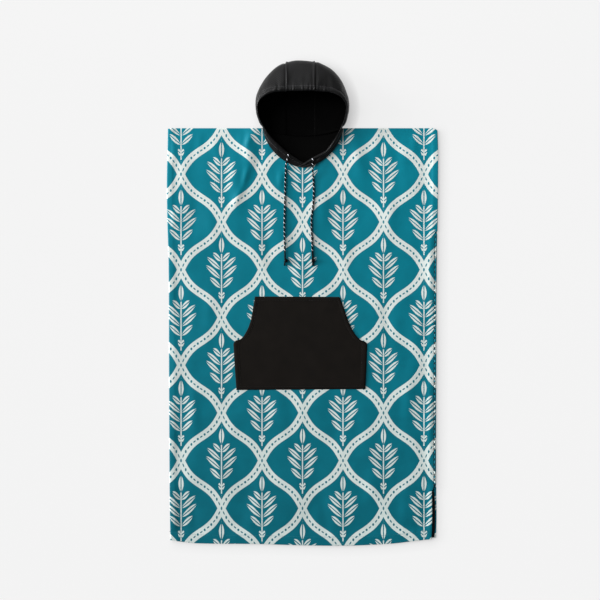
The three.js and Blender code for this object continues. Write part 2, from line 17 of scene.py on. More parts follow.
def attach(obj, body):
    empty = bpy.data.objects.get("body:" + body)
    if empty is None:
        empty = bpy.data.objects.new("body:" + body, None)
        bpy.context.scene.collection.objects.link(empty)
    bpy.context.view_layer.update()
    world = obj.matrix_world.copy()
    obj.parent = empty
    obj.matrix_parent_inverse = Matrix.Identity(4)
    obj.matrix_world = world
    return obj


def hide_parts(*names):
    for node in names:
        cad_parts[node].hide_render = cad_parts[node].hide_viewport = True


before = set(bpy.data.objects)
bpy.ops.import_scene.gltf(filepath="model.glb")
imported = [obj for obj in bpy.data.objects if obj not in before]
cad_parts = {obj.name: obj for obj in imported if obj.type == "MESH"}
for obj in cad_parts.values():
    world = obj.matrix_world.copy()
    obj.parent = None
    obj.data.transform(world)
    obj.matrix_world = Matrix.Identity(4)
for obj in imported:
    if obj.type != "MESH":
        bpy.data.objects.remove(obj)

LOG = logging.getLogger("poncho")
MM = 0.001
SEAM_GAP = 0.3
CLOTH_UV = "cloth"

Input = Union[bpy.types.NodeSocket, float, tuple]


class Slot(Enum):
    """Material slots of the record, named for the kinds of cloth."""

    PRINT = "print_cloth"
    HOOD = "hood_jersey"
    POCKET = "pocket_fleece"
    TAPE = "tape"
    CORD = "cord"


class Side(Enum):
    """Side of the garment, as the sign of its X."""

    LEFT = -1
    RIGHT = 1


class SideEdge(NamedTuple):
    """Left and right edge of the laid body at a height."""

    y: float
    left: float
    right: float


class HemEdge(NamedTuple):
    """Bottom edge of the front at an x."""

    x: float
    y: float


class Crease(NamedTuple):
    """Soft ridge, or trough where the height is negative; lean is in degrees."""

    x: float
    y: float
    length: float
    width: float
    height: float
    lean: float


class Cut(NamedTuple):
    """Flat cut of a hood panel, in metres and square metres, and how it is sewn.

    start is where it begins along the rim, gathered how far its casing is gathered from there, and seam_rise the
    height of its pressed seam allowance.
    """

    width: float
    length: float
    area: float
    start: float
    gathered: float
    seam_rise: float


class Rim(NamedTuple):
    """Hood's outline and rim at a turn in degrees from the crown.

    radius is the outline's on the floor, out the rim's distance from the middle, y and z its place, and widest the
    height where the wall stands widest.
    """

    turn: float
    radius: float
    out: float
    y: float
    z: float
    widest: float


class Lapel(NamedTuple):
    """Front edge of the hood: share of the neckline passed, the rim's place, and clearance over the front."""

    along: float
    x: float
    y: float
    z: float
    lift: float


class PocketLevel(NamedTuple):
    """Left and right end of the pocket at one level."""

    level: float
    left_x: float
    left_y: float
    right_x: float
    right_y: float


class RoutePoint(NamedTuple):
    """Point that a cord passes, with the height of what it lies on where that isn't the front."""

    x: float
    y: float
    over: float | None = None


class RollStep(NamedTuple):
    """Section of the back's right edge, flat and rolled: distance in from the edge and height."""

    flat_in: float
    rolled_in: float
    rolled_z: float


class Lamp(NamedTuple):
    """Distant light: where it comes from, its share of the light on the floor, and its width in radians."""

    towards: tuple[float, float, float]
    share: float
    spread: float


def table(kind: type, *rows: tuple) -> tuple:
    """Rows of numbers as a table whose columns have the kind's names."""
    return tuple(kind(*row) for row in rows)


SIDE_EDGES = table(
    SideEdge,
    (-672, -365, 368.5),
    (-600, -366.5, 371),
    (-480, -368, 370),
    (-200, -369.5, 370.5),
    (100, -370.5, 371.5),
    (240, -374.5, 374),
    (340, -375.5, 375),
    (430, -373.5, 375),
    (490, -372.5, 372.5),
)
HEM_EDGE = table(
    HemEdge,
    (-380, -655),
    (-340, -660),
    (-290, -665),
    (-120, -667),
    (0, -670.5),
    (130, -671.3),
    (250, -665.5),
    (315, -658),
    (380, -652),
)
MAIN_FOLDS = table(
    Crease,
    (-146, 430, 190, 34, 3.6, 9),
    (-186, 330, 220, 44, 3.2, -7),
    (-338, 330, 330, 40, 2.6, 2),
    (150, 412, 170, 36, 2.6, -12),
    (348, 120, 420, 36, 2.2, 1),
    (-345, -150, 360, 34, 2, -1),
    (52, 255, 200, 42, 2, 3),
    (350, -330, 300, 30, 2, 2),
    (-215, -430, 260, 60, 1.6, 4),
    (190, -470, 240, 54, 1.6, -5),
)
SOFT_CREASES = table(
    Crease,
    (-151, 447, 64, 13, 2.2, 16),
    (-158, 348, 78, 13, 2.4, 14),
    (-181, 290, 80, 16, 1.8, 24),
    (-61, 341, 66, 12, 1.8, 4),
    (-355, 425, 90, 16, 3, 0),
    (-356, 238, 60, 15, 3, -8),
    (-120, 392, 150, 22, -0.9, 16),
    (-172, 452, 96, 16, 0.8, -4),
    (-232, 400, 150, 26, 0.9, -14),
    (-285, 446, 120, 18, 0.8, 8),
    (-300, 250, 210, 30, -1, 5),
    (-248, 180, 190, 34, 0.9, -10),
    (96, 372, 120, 20, -0.8, -20),
    (205, 440, 130, 22, 0.8, 10),
    (262, 368, 180, 28, -0.9, -6),
    (310, 452, 110, 18, 0.9, 3),
    (238, 210, 230, 34, 0.8, 7),
    (-95, 150, 170, 30, -0.7, -5),
    (120, 120, 150, 28, 0.7, 11),
    (-262, -40, 220, 32, 0.8, 3),
    (236, -60, 210, 30, -0.8, -4),
    (-60, -330, 260, 40, 0.7, -8),
    (90, -360, 220, 36, -0.6, 9),
    (-300, -300, 190, 26, 0.9, -3),
    (292, -250, 200, 28, 0.8, 5),
    (-130, -560, 190, 34, 0.8, 12),
    (60, -590, 150, 30, -0.7, -10),
    (280, -560, 170, 28, 0.7, 6),
    (-300, -590, 150, 24, -0.8, -6),
)
ROLL = table(
    RollStep,
    (22, 22, 0),
    (16, 16, 0),
    (12, 10, 0),
    (9, 6, 0),
    (7, 3, 0.15),
    (5, 0.9, 0.9),
    (3.4, 0, 2.6),
    (2.2, 0.8, 4.3),
    (1.2, 2.4, 5.1),
    (0.5, 4.4, 5.2),
    (0, 6, 4.9),
)
LEFT_RIM = table(
    Rim,
    (21.6, 128.4, 45, 578.2, 61, 10),
    (40, 127.4, 79.5, 575, 59, 11),
    (60, 127.1, 106.2, 563, 56, 13),
    (75, 128.2, 118.2, 549.7, 53, 15),
    (90, 128, 122.2, 534.5, 49, 16),
    (105, 127.6, 117.6, 507.8, 41, 14),
    (119, 124.6, 106.6, 486.5, 31, 9),
)
CROWN_RIM = Rim(0, 125.4, 0, 579.2, 62, 10)
RIGHT_RIM = table(
    Rim,
    (17.5, 128.4, 38, 578.8, 61, 10),
    (27, 128.2, 57.5, 577.4, 60.3, 10.4),
    (40, 130.4, 81, 574, 59, 11),
    (60, 128.6, 107, 562, 56, 13),
    (75, 128.5, 118, 548, 53, 15),
    (90, 130.9, 121.4, 533, 49, 16),
    (105, 130.6, 117.4, 508, 41, 14),
    (119, 128.6, 108.4, 486.5, 31, 9),
)
LEFT_LAPEL = table(
    Lapel,
    (0, -108, 486.5, 31, 0.6),
    (0.1, -94, 466, 23.5, 0.6),
    (0.2, -80, 450.5, 18, 0.5),
    (0.3, -60.5, 433, 14, 0.5),
    (0.39, -40, 415.5, 11, 0.5),
    (0.47, -21, 402.5, 8.8, 0.5),
    (0.55, 3, 388.6, 7.2, 0.5),
    (0.6, 20, 382.6, 6.6, 0.5),
)
RIGHT_LAPEL = table(
    Lapel,
    (0, 108.6, 486.5, 31, 0.6),
    (0.1, 97.5, 466, 26, 0.6),
    (0.2, 84.6, 446, 21, 0.6),
    (0.3, 67.4, 423.6, 17, 0.9),
    (0.385, 51, 413.4, 15, 2.6),
    (0.45, 26.4, 401.4, 13.4, 3),
    (0.5, 10, 390.8, 12.4, 3),
    (0.55, -5, 381.6, 11.4, 3),
)
POCKET_LEVELS = table(
    PocketLevel,
    (0, -131.6, 18, 102.2, 17),
    (1, -137.2, -16, 113.6, -12),
    (2, -144.3, -52, 127.4, -52),
    (3, -155.8, -80, 143, -83),
    (4, -169.5, -98.6, 159, -101.4),
    (5, -191, -113.3, 179, -115.8),
    (6, -187.4, -178, 176.4, -178),
    (7, -183, -240.6, 173.6, -238),
)
LEFT_CUT = Cut(0.165, 0.32, 0.030, 300, 60, -0.5)
RIGHT_CUT = Cut(0.165, 0.33, 0.032, 700, 70, -0.5)
CROWN_CUT = Cut(0.098, 0.3, 0.028, 0, 300, 2.6)
LEFT_ROUTE = table(
    RoutePoint,
    (-39.4, 406.4, 12.4),
    (-42.5, 395, 10.4),
    (-45.6, 381, 9),
    (-46.3, 366),
    (-47.2, 340),
    (-48.4, 310),
    (-48.9, 279),
    (-49.6, 246),
    (-50.1, 213),
    (-49.4, 180),
    (-48.8, 148),
    (-48.2, 123.5),
)
RIGHT_ROUTE = table(
    RoutePoint,
    (28.2, 394.4, 15.2),
    (28.6, 383, 13),
    (28.4, 370, 11),
    (29.6, 345),
    (30.8, 318),
    (30.7, 292),
    (28.4, 264),
    (25, 236),
    (24.6, 208),
    (26, 180),
    (27, 150),
    (28.4, 123.5),
)


def clamp(value: float, low: float = 0.0, high: float = 1.0) -> float:
    """Value kept between low and high."""
    return max(low, min(high, value))


def mix(a: float, b: float, share: float) -> float:
    """Value a share of the way from a to b."""
    return a + (b - a) * share


def smooth(value: float, low: float, high: float) -> float:
    """Soft step from 0 at low to 1 at high."""
    t = clamp((value - low) / (high - low))
    return t * t * (3 - 2 * t)


def spread(start: float, end: float, steps: int) -> list[float]:
    """Evenly spread numbers, both ends included."""
    return [mix(start, end, k / steps) for k in range(steps + 1)]


def read(rows: Sequence[NamedTuple], source: str, target: str, value: float) -> float:
    """Smooth value of one column of a table.

    Args:
        rows: Rows of the table, whose source column rises.
        source: Column that is looked up.
        target: Column that is wanted.
        value: Value of the source column.

    Returns:
        The target column's value there, on a smooth curve through the rows.
    """
    last = len(rows) - 1
    x = [getattr(row, source) for row in rows]
    y = [getattr(row, target) for row in rows]
    at = clamp(value, x[0], x[last])
    k = 0
    while k < last - 1 and x[k + 1] < at:
        k += 1

    def slope(i: int) -> float:
        """Slope of the curve at row i."""
        low, high = max(i - 1, 0), min(i + 1, last)
        return (y[high] - y[low]) / (x[high] - x[low])

    span = x[k + 1] - x[k]
    t = (at - x[k]) / span
    eased = (3 - 2 * t) * t * t
    return mix(y[k], y[k + 1], eased) + span * t * (1 - t) * (slope(k) * (1 - t) - slope(k + 1) * t)


def edge_round(distance: float, radius: float, drop: float) -> float:
    """How far a rounded edge has dropped at a distance from it."""
    inward = clamp(distance / radius)
    return drop * (1 - math.sqrt(1 - (1 - inward) ** 2))


def bow(start: Vector, crest: Vector, end: Vector, t: float) -> Vector:
    """Point on a curve that sets out towards the crest and comes in to the end from it."""
    return start * (1 - t) ** 2 + crest * 2 * t * (1 - t) + end * t * t


def lengths_along(points: Sequence[Vector]) -> list[float]:
    """Distance along a line at each of its points."""
    lengths = [0.0]
    for a, b in zip(points, points[1:]):
        lengths.append(lengths[-1] + (b - a).length)
    return lengths


def crease_height(creases: Sequence[Crease], x: float, y: float) -> float:
    """Sum of the creases' heights at a place."""
    height = 0.0
    for crease in creases:
        lean = math.radians(crease.lean)
        dx, dy = x - crease.x, y - crease.y
        along = (dx * math.sin(lean) + dy * math.cos(lean)) / (crease.length / 2)
        if abs(along) < 1:
            across = (dx * math.cos(lean) - dy * math.sin(lean)) / (crease.width / 2)
            height += crease.height * math.exp(-across * across) * (1 - along * along) ** 1.5
    return height


def linear(colour: str) -> tuple[float, float, float, float]:
    """Linear colour of an sRGB hex value such as 1f7d90."""
    parts = [int(colour[k : k + 2], 16) / 255 for k in (0, 2, 4)]
    return (*[c / 12.92 if c <= 0.04045 else ((c + 0.055) / 1.055) ** 2.4 for c in parts], 1.0)


class Graph:
    """Node tree of one material."""

    def __init__(self, name: str) -> None:
        """Starts an empty tree in a new material."""
        self.material = bpy.data.materials.new(name)
        self.material.use_nodes = True
        self.tree = self.material.node_tree
        self.tree.nodes.clear()

    def add(
        self, kind: str, *inputs: Input, out: Union[int, str] = 0, named: dict[str, Input] | None = None, **settings
    ) -> bpy.types.NodeSocket:
        """Adds a shader node, sets or links its inputs and gives one of its outputs.

        Args:
            kind: Node type without its ShaderNode prefix, with an operation after a dot where it has one.
            inputs: Values or sockets for the inputs in their order.
            out: Output that is given back.
            named: Values or sockets for inputs by name.
            settings: The node's own settings.

        Returns:
            The output socket, or None for a node that has none.
        """
        kind, _, operation = kind.partition(".")
        node = self.tree.nodes.new("ShaderNode" + kind)
        if operation:
            node.operation = operation
        for name, value in settings.items():
            setattr(node, name, value)
        for key, value in [*enumerate(inputs), *(named or {}).items()]:
            if isinstance(value, bpy.types.NodeSocket):
                self.tree.links.new(value, node.inputs[key])
            else:
                node.inputs[key].default_value = value
        return node.outputs[out] if node.outputs else None

    def finish(self, colour: Input, normal: Input, sockets: dict[str, Input]) -> bpy.types.Material:
        """Ends the tree in a Principled shader.

        Args:
            colour: Base colour.
            normal: Bumped normal.
            sockets: The shader's other inputs by name.

        Returns:
            The finished material.
        """
        shader = self.add("BsdfPrincipled", named={"Base Color": colour, "Normal": normal, **sockets})
        self.add("OutputMaterial", shader)
        return self.material


@dataclass(frozen=True)
class Motif:
    """Sizes of the sprig in each cell of the print."""

    leaf_spacing: float = 25
    leaf_angle: float = 50
    leaf_length: float = 60
    leaf_width: float = 7
    widest_leaf_y: float = -18
    reach: float = 64
    stem_width: float = 2
    stem_bottom: float = -92
    tip_bottom: float = 44
    tip_length: float = 48
    tip_width: float = 7.5
    vein_width: float = 1


@dataclass(frozen=True)
class PrintedTowelling:
    """Printed microfibre towelling: a clipped pile with a soft sheen, screen printed teal on cream.

    The print is a trellis of curved cream bands, dotted in teal, around a leafy sprig in each cell.
    """

    # Painted light falloff: ground and figure run from their lighter colour at the top to their darker one towards
    # the hem.
    ground: str = "008296"
    ground_painted_shade: str = "006272"
    fade: float = 0.7
    figure: str = "e0e6e2"
    figure_painted_shade: str = "c8d4d1"
    cell_width: float = 224
    cell_height: float = 264
    band: float = 11.5
    wave: float = 0.045
    dots: int = 14
    edge: float = 0.8
    phase_x: float = 0.0
    phase_y: float = 40.0
    motif: Motif = Motif()

    def mask(self, g: Graph, inside: Input, outside: Input) -> bpy.types.NodeSocket:
        """1 where outside is less than inside, with a printed edge's softness; both in millimetres."""
        difference = g.add("Math.SUBTRACT", inside, outside)
        return g.add("Math.MULTIPLY", difference, 1 / self.edge, use_clamp=True)

    def trellis(self, g: Graph, u: Input, v: Input) -> bpy.types.NodeSocket:
        """Mask of the dotted bands between the cells.

        Args:
            g: The material's node tree.
            u: Cell coordinate along one diagonal.
            v: Cell coordinate along the other.

        Returns:
            1 on the bands, 0 on their dots and elsewhere.
        """
        across = 1 / math.hypot(1 / self.cell_width, 1 / self.cell_height)
        waved = []
        for this, other in ((u, v), (v, u)):
            turn = g.add("Math.MULTIPLY", other, 2 * math.pi)
            swing = g.add("Math.SINE", turn)
            waved.append(g.add("Math.MULTIPLY_ADD", swing, self.wave, this))
        edges = []
        for coordinate in waved:
            share = g.add("Math.FRACT", coordinate)
            centred = g.add("Math.SUBTRACT", share, 0.5)
            away = g.add("Math.ABSOLUTE", centred)
            edges.append(g.add("Math.SUBTRACT", 0.5, away))
        nearest = g.add("Math.MINIMUM", *edges)
        from_middle = g.add("Math.MULTIPLY", nearest, across)
        band = self.mask(g, self.band, from_middle)
        first = g.add("Math.LESS_THAN", *edges)
        along = g.add("Mix", first, out="Result", named={"A": waved[0], "B": waved[1]})
        marks = []
        for shift, radius, stretch in ((0.0, 3.6, 1.0), (0.5, 2.2, 0.42)):
            count = g.add("Math.MULTIPLY_ADD", along, self.dots / 2, shift + 0.5)
            share = g.add("Math.FRACT", count)
            centred = g.add("Math.SUBTRACT", share, 0.5)
            run = g.add("Math.MULTIPLY", centred, stretch * 2 * across / self.dots)
            place = g.add("CombineXYZ", run, from_middle)
            distance = g.add("VectorMath.LENGTH", place, out="Value")
            marks.append(self.mask(g, radius, distance))
        dotted = g.add("Math.MAXIMUM", *marks)
        plain = g.add("Math.SUBTRACT", 1.0, dotted)
        return g.add("Math.MULTIPLY", band, plain)

    def sprig(self, g: Graph, x: Input, y: Input) -> bpy.types.NodeSocket:
        """Mask of the leafy sprig about a cell's middle.

        Args:
            g: The material's node tree.
            x: Millimetres right of the cell's middle.
            y: Millimetres above it.

        Returns:
            1 on the sprig.
        """
        m = self.motif
        angle = math.radians(m.leaf_angle)
        side = g.add("Math.ABSOLUTE", x)
        foot = g.add("Math.MULTIPLY_ADD", side, -1 / math.tan(angle), y)
        count = g.add("Math.MULTIPLY", foot, 1 / m.leaf_spacing)
        whole = g.add("Math.ROUND", count)
        away = g.add("Math.SUBTRACT", count, whole)
        off_vein = g.add("Math.MULTIPLY", away, m.leaf_spacing * math.sin(angle))
        off_vein = g.add("Math.ABSOLUTE", off_vein)
        from_widest = g.add("Math.MULTIPLY_ADD", whole, m.leaf_spacing / m.reach, -m.widest_leaf_y / m.reach)
        squared = g.add("Math.MULTIPLY", from_widest, from_widest)
        shorter = g.add("Math.SUBTRACT", 1.0, squared)
        length = g.add("Math.MULTIPLY", shorter, m.leaf_length * math.sin(angle))
        length = g.add("Math.MAXIMUM", length, 0.1)
        share = g.add("Math.DIVIDE", side, length)
        rest = g.add("Math.SUBTRACT", 1.0, share)
        lens = g.add("Math.MULTIPLY", share, rest)
        width = g.add("Math.MULTIPLY", lens, 4 * m.leaf_width)
        leaf = self.mask(g, width, off_vein)
        vein = self.mask(g, off_vein, m.vein_width)
        leaf = g.add("Math.MULTIPLY", leaf, vein)
        from_tip = g.add("Math.SUBTRACT", y, m.tip_bottom)
        tip_share = g.add("Math.MULTIPLY", from_tip, 1 / m.tip_length)
        tip_rest = g.add("Math.SUBTRACT", 1.0, tip_share)
        tip_lens = g.add("Math.MULTIPLY", tip_share, tip_rest)
        tip_width = g.add("Math.MULTIPLY", tip_lens, 4 * m.tip_width)
        tip = self.mask(g, tip_width, side)
        tip_vein = self.mask(g, side, m.vein_width)
        tip = g.add("Math.MULTIPLY", tip, tip_vein)
        stem = self.mask(g, m.stem_width, side)
        above = self.mask(g, y, m.stem_bottom)
        below = self.mask(g, m.tip_bottom, y)
        stem = g.add("Math.MULTIPLY", stem, above)
        stem = g.add("Math.MULTIPLY", stem, below)
        sprig = g.add("Math.MAXIMUM", leaf, tip)
        return g.add("Math.MAXIMUM", sprig, stem)

    def material(self) -> bpy.types.Material:
        """Builds the printed cloth's material."""
        g = Graph("printed_microfibre_towelling")
        uv = g.add("UVMap", uv_map=CLOTH_UV)
        x = g.add("SeparateXYZ", uv, out="X")
        y = g.add("SeparateXYZ", uv, out="Y")
        x_cells = g.add("Math.MULTIPLY_ADD", x, 1 / (MM * self.cell_width), self.phase_x / self.cell_width)
        y_cells = g.add("Math.MULTIPLY_ADD", y, 1 / (MM * self.cell_height), self.phase_y / self.cell_height)
        u = g.add("Math.ADD", x_cells, y_cells)
        v = g.add("Math.SUBTRACT", x_cells, y_cells)
        local = []
        for coordinate in (u, v):
            share = g.add("Math.FRACT", coordinate)
            local.append(g.add("Math.SUBTRACT", share, 0.5))
        right = g.add("Math.ADD", *local)
        up = g.add("Math.SUBTRACT", *local)
        right = g.add("Math.MULTIPLY", right, self.cell_width / 2)
        up = g.add("Math.MULTIPLY", up, self.cell_height / 2)
        figure = g.add("Math.MAXIMUM", self.trellis(g, u, v), self.sprig(g, right, up))
        mottle = g.add("TexNoise", uv, named={"Scale": 1 / (45 * MM), "Detail": 3.0, "Roughness": 0.55})
        cloud = g.add("Math.MULTIPLY_ADD", mottle, 0.5, 0.2)
        # Painted light falloff: lighter towards the top and darker towards the hem along y, with random mottling
        # added.
        mottle_and_painted_falloff = g.add("Math.MULTIPLY_ADD", y, self.fade, cloud, use_clamp=True)
        colours = [
            g.add("Mix", mottle_and_painted_falloff, out=2, data_type="RGBA", named={6: linear(low), 7: linear(high)})
            for low, high in ((self.ground_painted_shade, self.ground), (self.figure_painted_shade, self.figure))
        ]
        return self.surface(g, uv, colours, figure)

    def surface(self, g: Graph, uv: Input, colours: Sequence[Input], figure: Input) -> bpy.types.Material:
        """Joins ground and figure and gives them the pile.

        Args:
            g: The material's node tree.
            uv: Cloth coordinates.
            colours: Colours of the ground and of the figures.
            figure: Mask of the printed figures.

        Returns:
            The finished material.
        """
        colour = g.add("Mix", figure, out=2, data_type="RGBA", named={6: colours[0], 7: colours[1]})
        pile = g.add("TexNoise", uv, named={"Scale": 1 / (2.4 * MM), "Detail": 4.0, "Roughness": 0.6})
        shade = g.add("Math.MULTIPLY_ADD", pile, 0.16, 0.92)
        colour = g.add("VectorMath.SCALE", colour, named={"Scale": shade})
        normal = g.add("Bump", named={"Strength": 0.35, "Distance": 0.5 * MM, "Height": pile})
        sockets = {
            "Roughness": 0.42,
            "Sheen Weight": 0.04,
            "Sheen Roughness": 0.4,
            "Specular IOR Level": 0.2,
            "IOR": 1.45,
        }
        return g.finish(colour, normal, sockets)


@dataclass(frozen=True)
class PlainCloth:
    """Dyed cloth in one colour, with a pile or rib that catches the light.

    Attributes give its colour, its grain in millimetres, and how far it shines.
    """

    name: str
    colour: str
    light: str
    grain: float = 1.8
    rib: float = 0.0
    bump: float = 0.4
    roughness: float = 0.8
    sheen: float = 0.1
    sheen_roughness: float = 0.4
    specular: float = 0.2

    def material(self) -> bpy.types.Material:
        """Builds the cloth's material."""
        g = Graph(self.name)
        uv = g.add("UVMap", uv_map=CLOTH_UV)
        grain = g.add("TexNoise", uv, named={"Scale": 1 / (self.grain * MM), "Detail": 4.0, "Roughness": 0.65})
        cloud = g.add("TexNoise", uv, named={"Scale": 1 / (38 * MM), "Detail": 3.0})
        tone = g.add("Math.MULTIPLY", grain, cloud)
        tone = g.add("Math.MULTIPLY", tone, 1.6, use_clamp=True)
        colour = g.add("Mix", tone, out=2, data_type="RGBA", named={6: linear(self.colour), 7: linear(self.light)})
        height = grain
        if self.rib:
            ribs = g.add("TexWave", uv, out=1, bands_direction="DIAGONAL", named={"Scale": 1 / (self.rib * MM) / 6.3})
            height = g.add("Math.MULTIPLY_ADD", ribs, 0.6, grain)
        normal = g.add("Bump", named={"Strength": self.bump, "Distance": 0.5 * MM, "Height": height})
        sockets = {
            "Roughness": self.roughness,
            "Sheen Weight": self.sheen,
            "Sheen Roughness": self.sheen_roughness,
            "Specular IOR Level": self.specular,
            "IOR": 1.45,
        }
        return g.finish(colour, normal, sockets)


@dataclass(frozen=True)
class BraidedCord:
    """Round polyester braid: black strands with one pale thread that winds round as short flecks."""

    black: str = "030304"
    fleck: str = "e3e7ee"
    fleck_pitch: float = 12.5
    fleck_share: float = 0.13
    strand: float = 3.2
    strands: int = 4
    plain_end: float = 20

    def material(self) -> bpy.types.Material:
        """Builds the cord's material, from a UV map along and around it."""
        g = Graph("braided_polyester_cord")
        uv = g.add("UVMap", uv_map=CLOTH_UV)
        along = g.add("SeparateXYZ", uv, out="X")
        around = g.add("SeparateXYZ", uv, out="Y")
        turn = g.add("Math.MULTIPLY_ADD", along, 1 / (self.fleck_pitch * MM), around)
        share = g.add("Math.FRACT", turn)
        fleck = g.add("Math.LESS_THAN", share, self.fleck_share)
        before_end = g.add("Math.GREATER_THAN", along, self.plain_end * MM)
        fleck = g.add("Math.MULTIPLY", fleck, before_end)
        weave = []
        for hand in (-1, 1):
            strand = g.add("Math.MULTIPLY", around, float(hand * self.strands))
            strand = g.add("Math.MULTIPLY_ADD", along, 1 / (self.strand * MM), strand)
            weave.append(g.add("Math.PINGPONG", strand, 0.5))
        height = g.add("Math.MAXIMUM", *weave)
        colour = g.add("Mix", fleck, out=2, data_type="RGBA", named={6: linear(self.black), 7: linear(self.fleck)})
        normal = g.add("Bump", named={"Strength": 0.8, "Distance": 0.6 * MM, "Height": height})
        return g.finish(colour, normal, {"Roughness": 0.6, "Specular IOR Level": 0.1, "IOR": 1.5})


@dataclass(frozen=True)
class Thread:
    """Spun polyester sewing thread, slightly shiny."""

    name: str
    colour: str

    def material(self) -> bpy.types.Material:
        """Builds the thread's material."""
        g = Graph(self.name)
        place = g.add("TexCoord", out="Object")
        fibres = g.add("TexNoise", place, named={"Scale": 1 / (0.6 * MM), "Detail": 2.0})
        normal = g.add("Bump", named={"Strength": 0.4, "Distance": 0.2 * MM, "Height": fibres})
        return g.finish(linear(self.colour), normal, {"Roughness": 0.55, "Specular IOR Level": 0.3, "IOR": 1.5})


class Finishes:
    """All finishes of the garment, each built once."""

    def __init__(self) -> None:
        """Builds the materials."""
        self.print = PrintedTowelling().material()
        dull = {"sheen": 0.0, "specular": 0.04}
        self.inside = PlainCloth("black_towelling_back", "030303", "070707", grain=2.6, bump=0.7, **dull).material()
        self.lining = PlainCloth("jersey_loopback", "020202", "050505", grain=1.8, rib=2.2, **dull).material()
        self.jersey = PlainCloth(
            "brushed_cotton_jersey", "070708", "141415", grain=3.4, rib=1.8, bump=1.0,
            roughness=0.42, sheen=0.03, sheen_roughness=0.3, specular=0.26,
        ).material()
        self.fleece = PlainCloth(
            "cotton_fleece", "0e0c0a", "1b1714", grain=2.2, bump=0.5, sheen=0.02, specular=0.1
        ).material()
        self.tape = PlainCloth(
            "polyester_twill_tape", "050506", "0d0d0e", grain=1.2, rib=2.0, specular=0.1
        ).material()
        self.cord = BraidedCord().material()
        self.knot = BraidedCord(fleck_share=0.0).material()
        self.black_thread = Thread("black_sewing_thread", "0f0f10").material()
        # Charcoal topstitching, painted lighter grey so that the casing stitches also stand in for the sheen of the
        # gathered rim band.
        self.casing_thread_painted_sheen = Thread("charcoal_sewing_thread", "4c4c4f").material()
        self.teal_thread = Thread("teal_sewing_thread", "2b8090").material()


Place = Callable[[int, int], Vector]


def grid_piece(
    name: str,
    columns: int,
    rows: int,
    place: Place,
    thickness: float,
    materials: Sequence[bpy.types.Material],
    flat: Place | None = None,
    share: Callable[[int, int], float] | None = None,
    hemmed: Callable[[int, int], bool] | None = None,
    face_down: bool = False,
) -> bpy.types.Object:
    """Makes one sheet of cloth from a grid whose points are put in place.

    Args:
        name: Name of the piece.
        columns: Number of points across.
        rows: Number of points up.
        place: Gives a point's place in millimetres from its column and row.
        thickness: Its thickest stretch, in millimetres, on the inner side of the points.
        materials: Outside and inside material.
        flat: Gives the point's place on the flat cloth, where it isn't simply its x and y.
        share: Share of the thickness at a point, where it isn't the same all over.
        hemmed: Whether the face at a column and row is a turned hem, which shows the outside on both sides.
        face_down: Whether the outside looks down.

    Returns:
        The new object, at the origin, with the cloth's UV map.
    """
    bm = bmesh.new()
    bmesh.ops.create_grid(bm, x_segments=columns - 1, y_segments=rows - 1, size=0.5)
    uv_layer = bm.loops.layers.uv.new(CLOTH_UV)
    bm.verts.index_update()
    grid = [(round((v.co.x + 0.5) * (columns - 1)), round((v.co.y + 0.5) * (rows - 1))) for v in bm.verts]
    cloth = []
    for vert, (i, j) in zip(bm.verts, grid):
        point = place(i, j)
        cloth.append(flat(i, j) if flat else point)
        vert.co = point * MM
    for face in bm.faces:
        face.smooth = True
        corner = min(grid[vert.index] for vert in face.verts)
        face.material_index = 2 if hemmed and hemmed(*corner) else 0
        for loop in face.loops:
            at = cloth[loop.vert.index]
            loop[uv_layer].uv = (at.x * MM, at.y * MM)
    if face_down:
        bmesh.ops.reverse_faces(bm, faces=bm.faces)
    outside, inside = materials
    piece = finish_mesh(name, bm, [outside, inside, outside, outside] if hemmed else [outside, inside])
    solidify = piece.modifiers.new("cloth thickness", "SOLIDIFY")
    solidify.thickness = thickness * MM
    solidify.offset = -1
    solidify.material_offset = 1
    if share:
        group = piece.vertex_groups.new(name="thickness")
        for index, (i, j) in enumerate(grid):
            group.add([index], share(i, j), "REPLACE")
        solidify.vertex_group = group.name
    return piece


def finish_mesh(name: str, bm: bmesh.types.BMesh, materials: Sequence[bpy.types.Material]) -> bpy.types.Object:
    """Turns a bmesh into an object of the scene.

    Args:
        name: Name of the piece.
        bm: Its mesh, in metres, which is freed.
        materials: Its materials.

    Returns:
        The new object.
    """
    mesh = bpy.data.meshes.new(name)
    bm.to_mesh(mesh)
    bm.free()
    for material in materials:
        mesh.materials.append(material)
    piece = bpy.data.objects.new(name, mesh)
    bpy.context.scene.collection.objects.link(piece)
    return piece


def dress(piece: bpy.types.Object, slot: Slot, *nodes: str) -> bpy.types.Object:
    """Ties a finished piece to the frame.

    Args:
        piece: The piece.
        slot: The record's slot it belongs to; not used.
        nodes: CAD nodes that it stands for.

    Returns:
        The same piece.
    """
    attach(piece, "root")
    if nodes:
        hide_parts(*nodes)
    LOG.info("%s: %d faces", piece.name, len(piece.data.polygons))
    return piece


def stitch_row(
    name: str,
    points: Sequence[Vector],
    material: bpy.types.Material,
    slot: Slot,
    stitch: float = 3.2,
    gap: float = 1.1,
    width: float = 0.8,
) -> bpy.types.Object:
    """Lays a row of sewing stitches along a line.

    Args:
        name: Name of the row.
        points: The line, in millimetres, on the cloth's surface.
        material: The thread.
        slot: The record's slot of the cloth that it sews.
        stitch: Length of one stitch.
        gap: Space between two stitches.
        width: Width of the thread.

    Returns:
        The row as one joined piece.
    """
    bm = bmesh.new()
    pitch = stitch + gap
    reached = 0.0
    target = pitch / 2
    for a, b in zip(points, points[1:]):
        run = (b - a).length
        while run > 0 and reached + run >= target:
            middle = a.lerp(b, (target - reached) / run)
            turn = (b - a).to_track_quat("X", "Z").to_matrix().to_4x4()
            size = Matrix.Diagonal((stitch / 2, width / 2, width / 2.4, 1))
            matrix = Matrix.Scale(MM, 4) @ Matrix.Translation(middle) @ turn @ size
            bmesh.ops.create_icosphere(bm, subdivisions=1, radius=1, matrix=matrix)
            target += pitch
        reached += run
    for face in bm.faces:
        face.smooth = True
    return dress(finish_mesh(name, bm, [material]), slot)


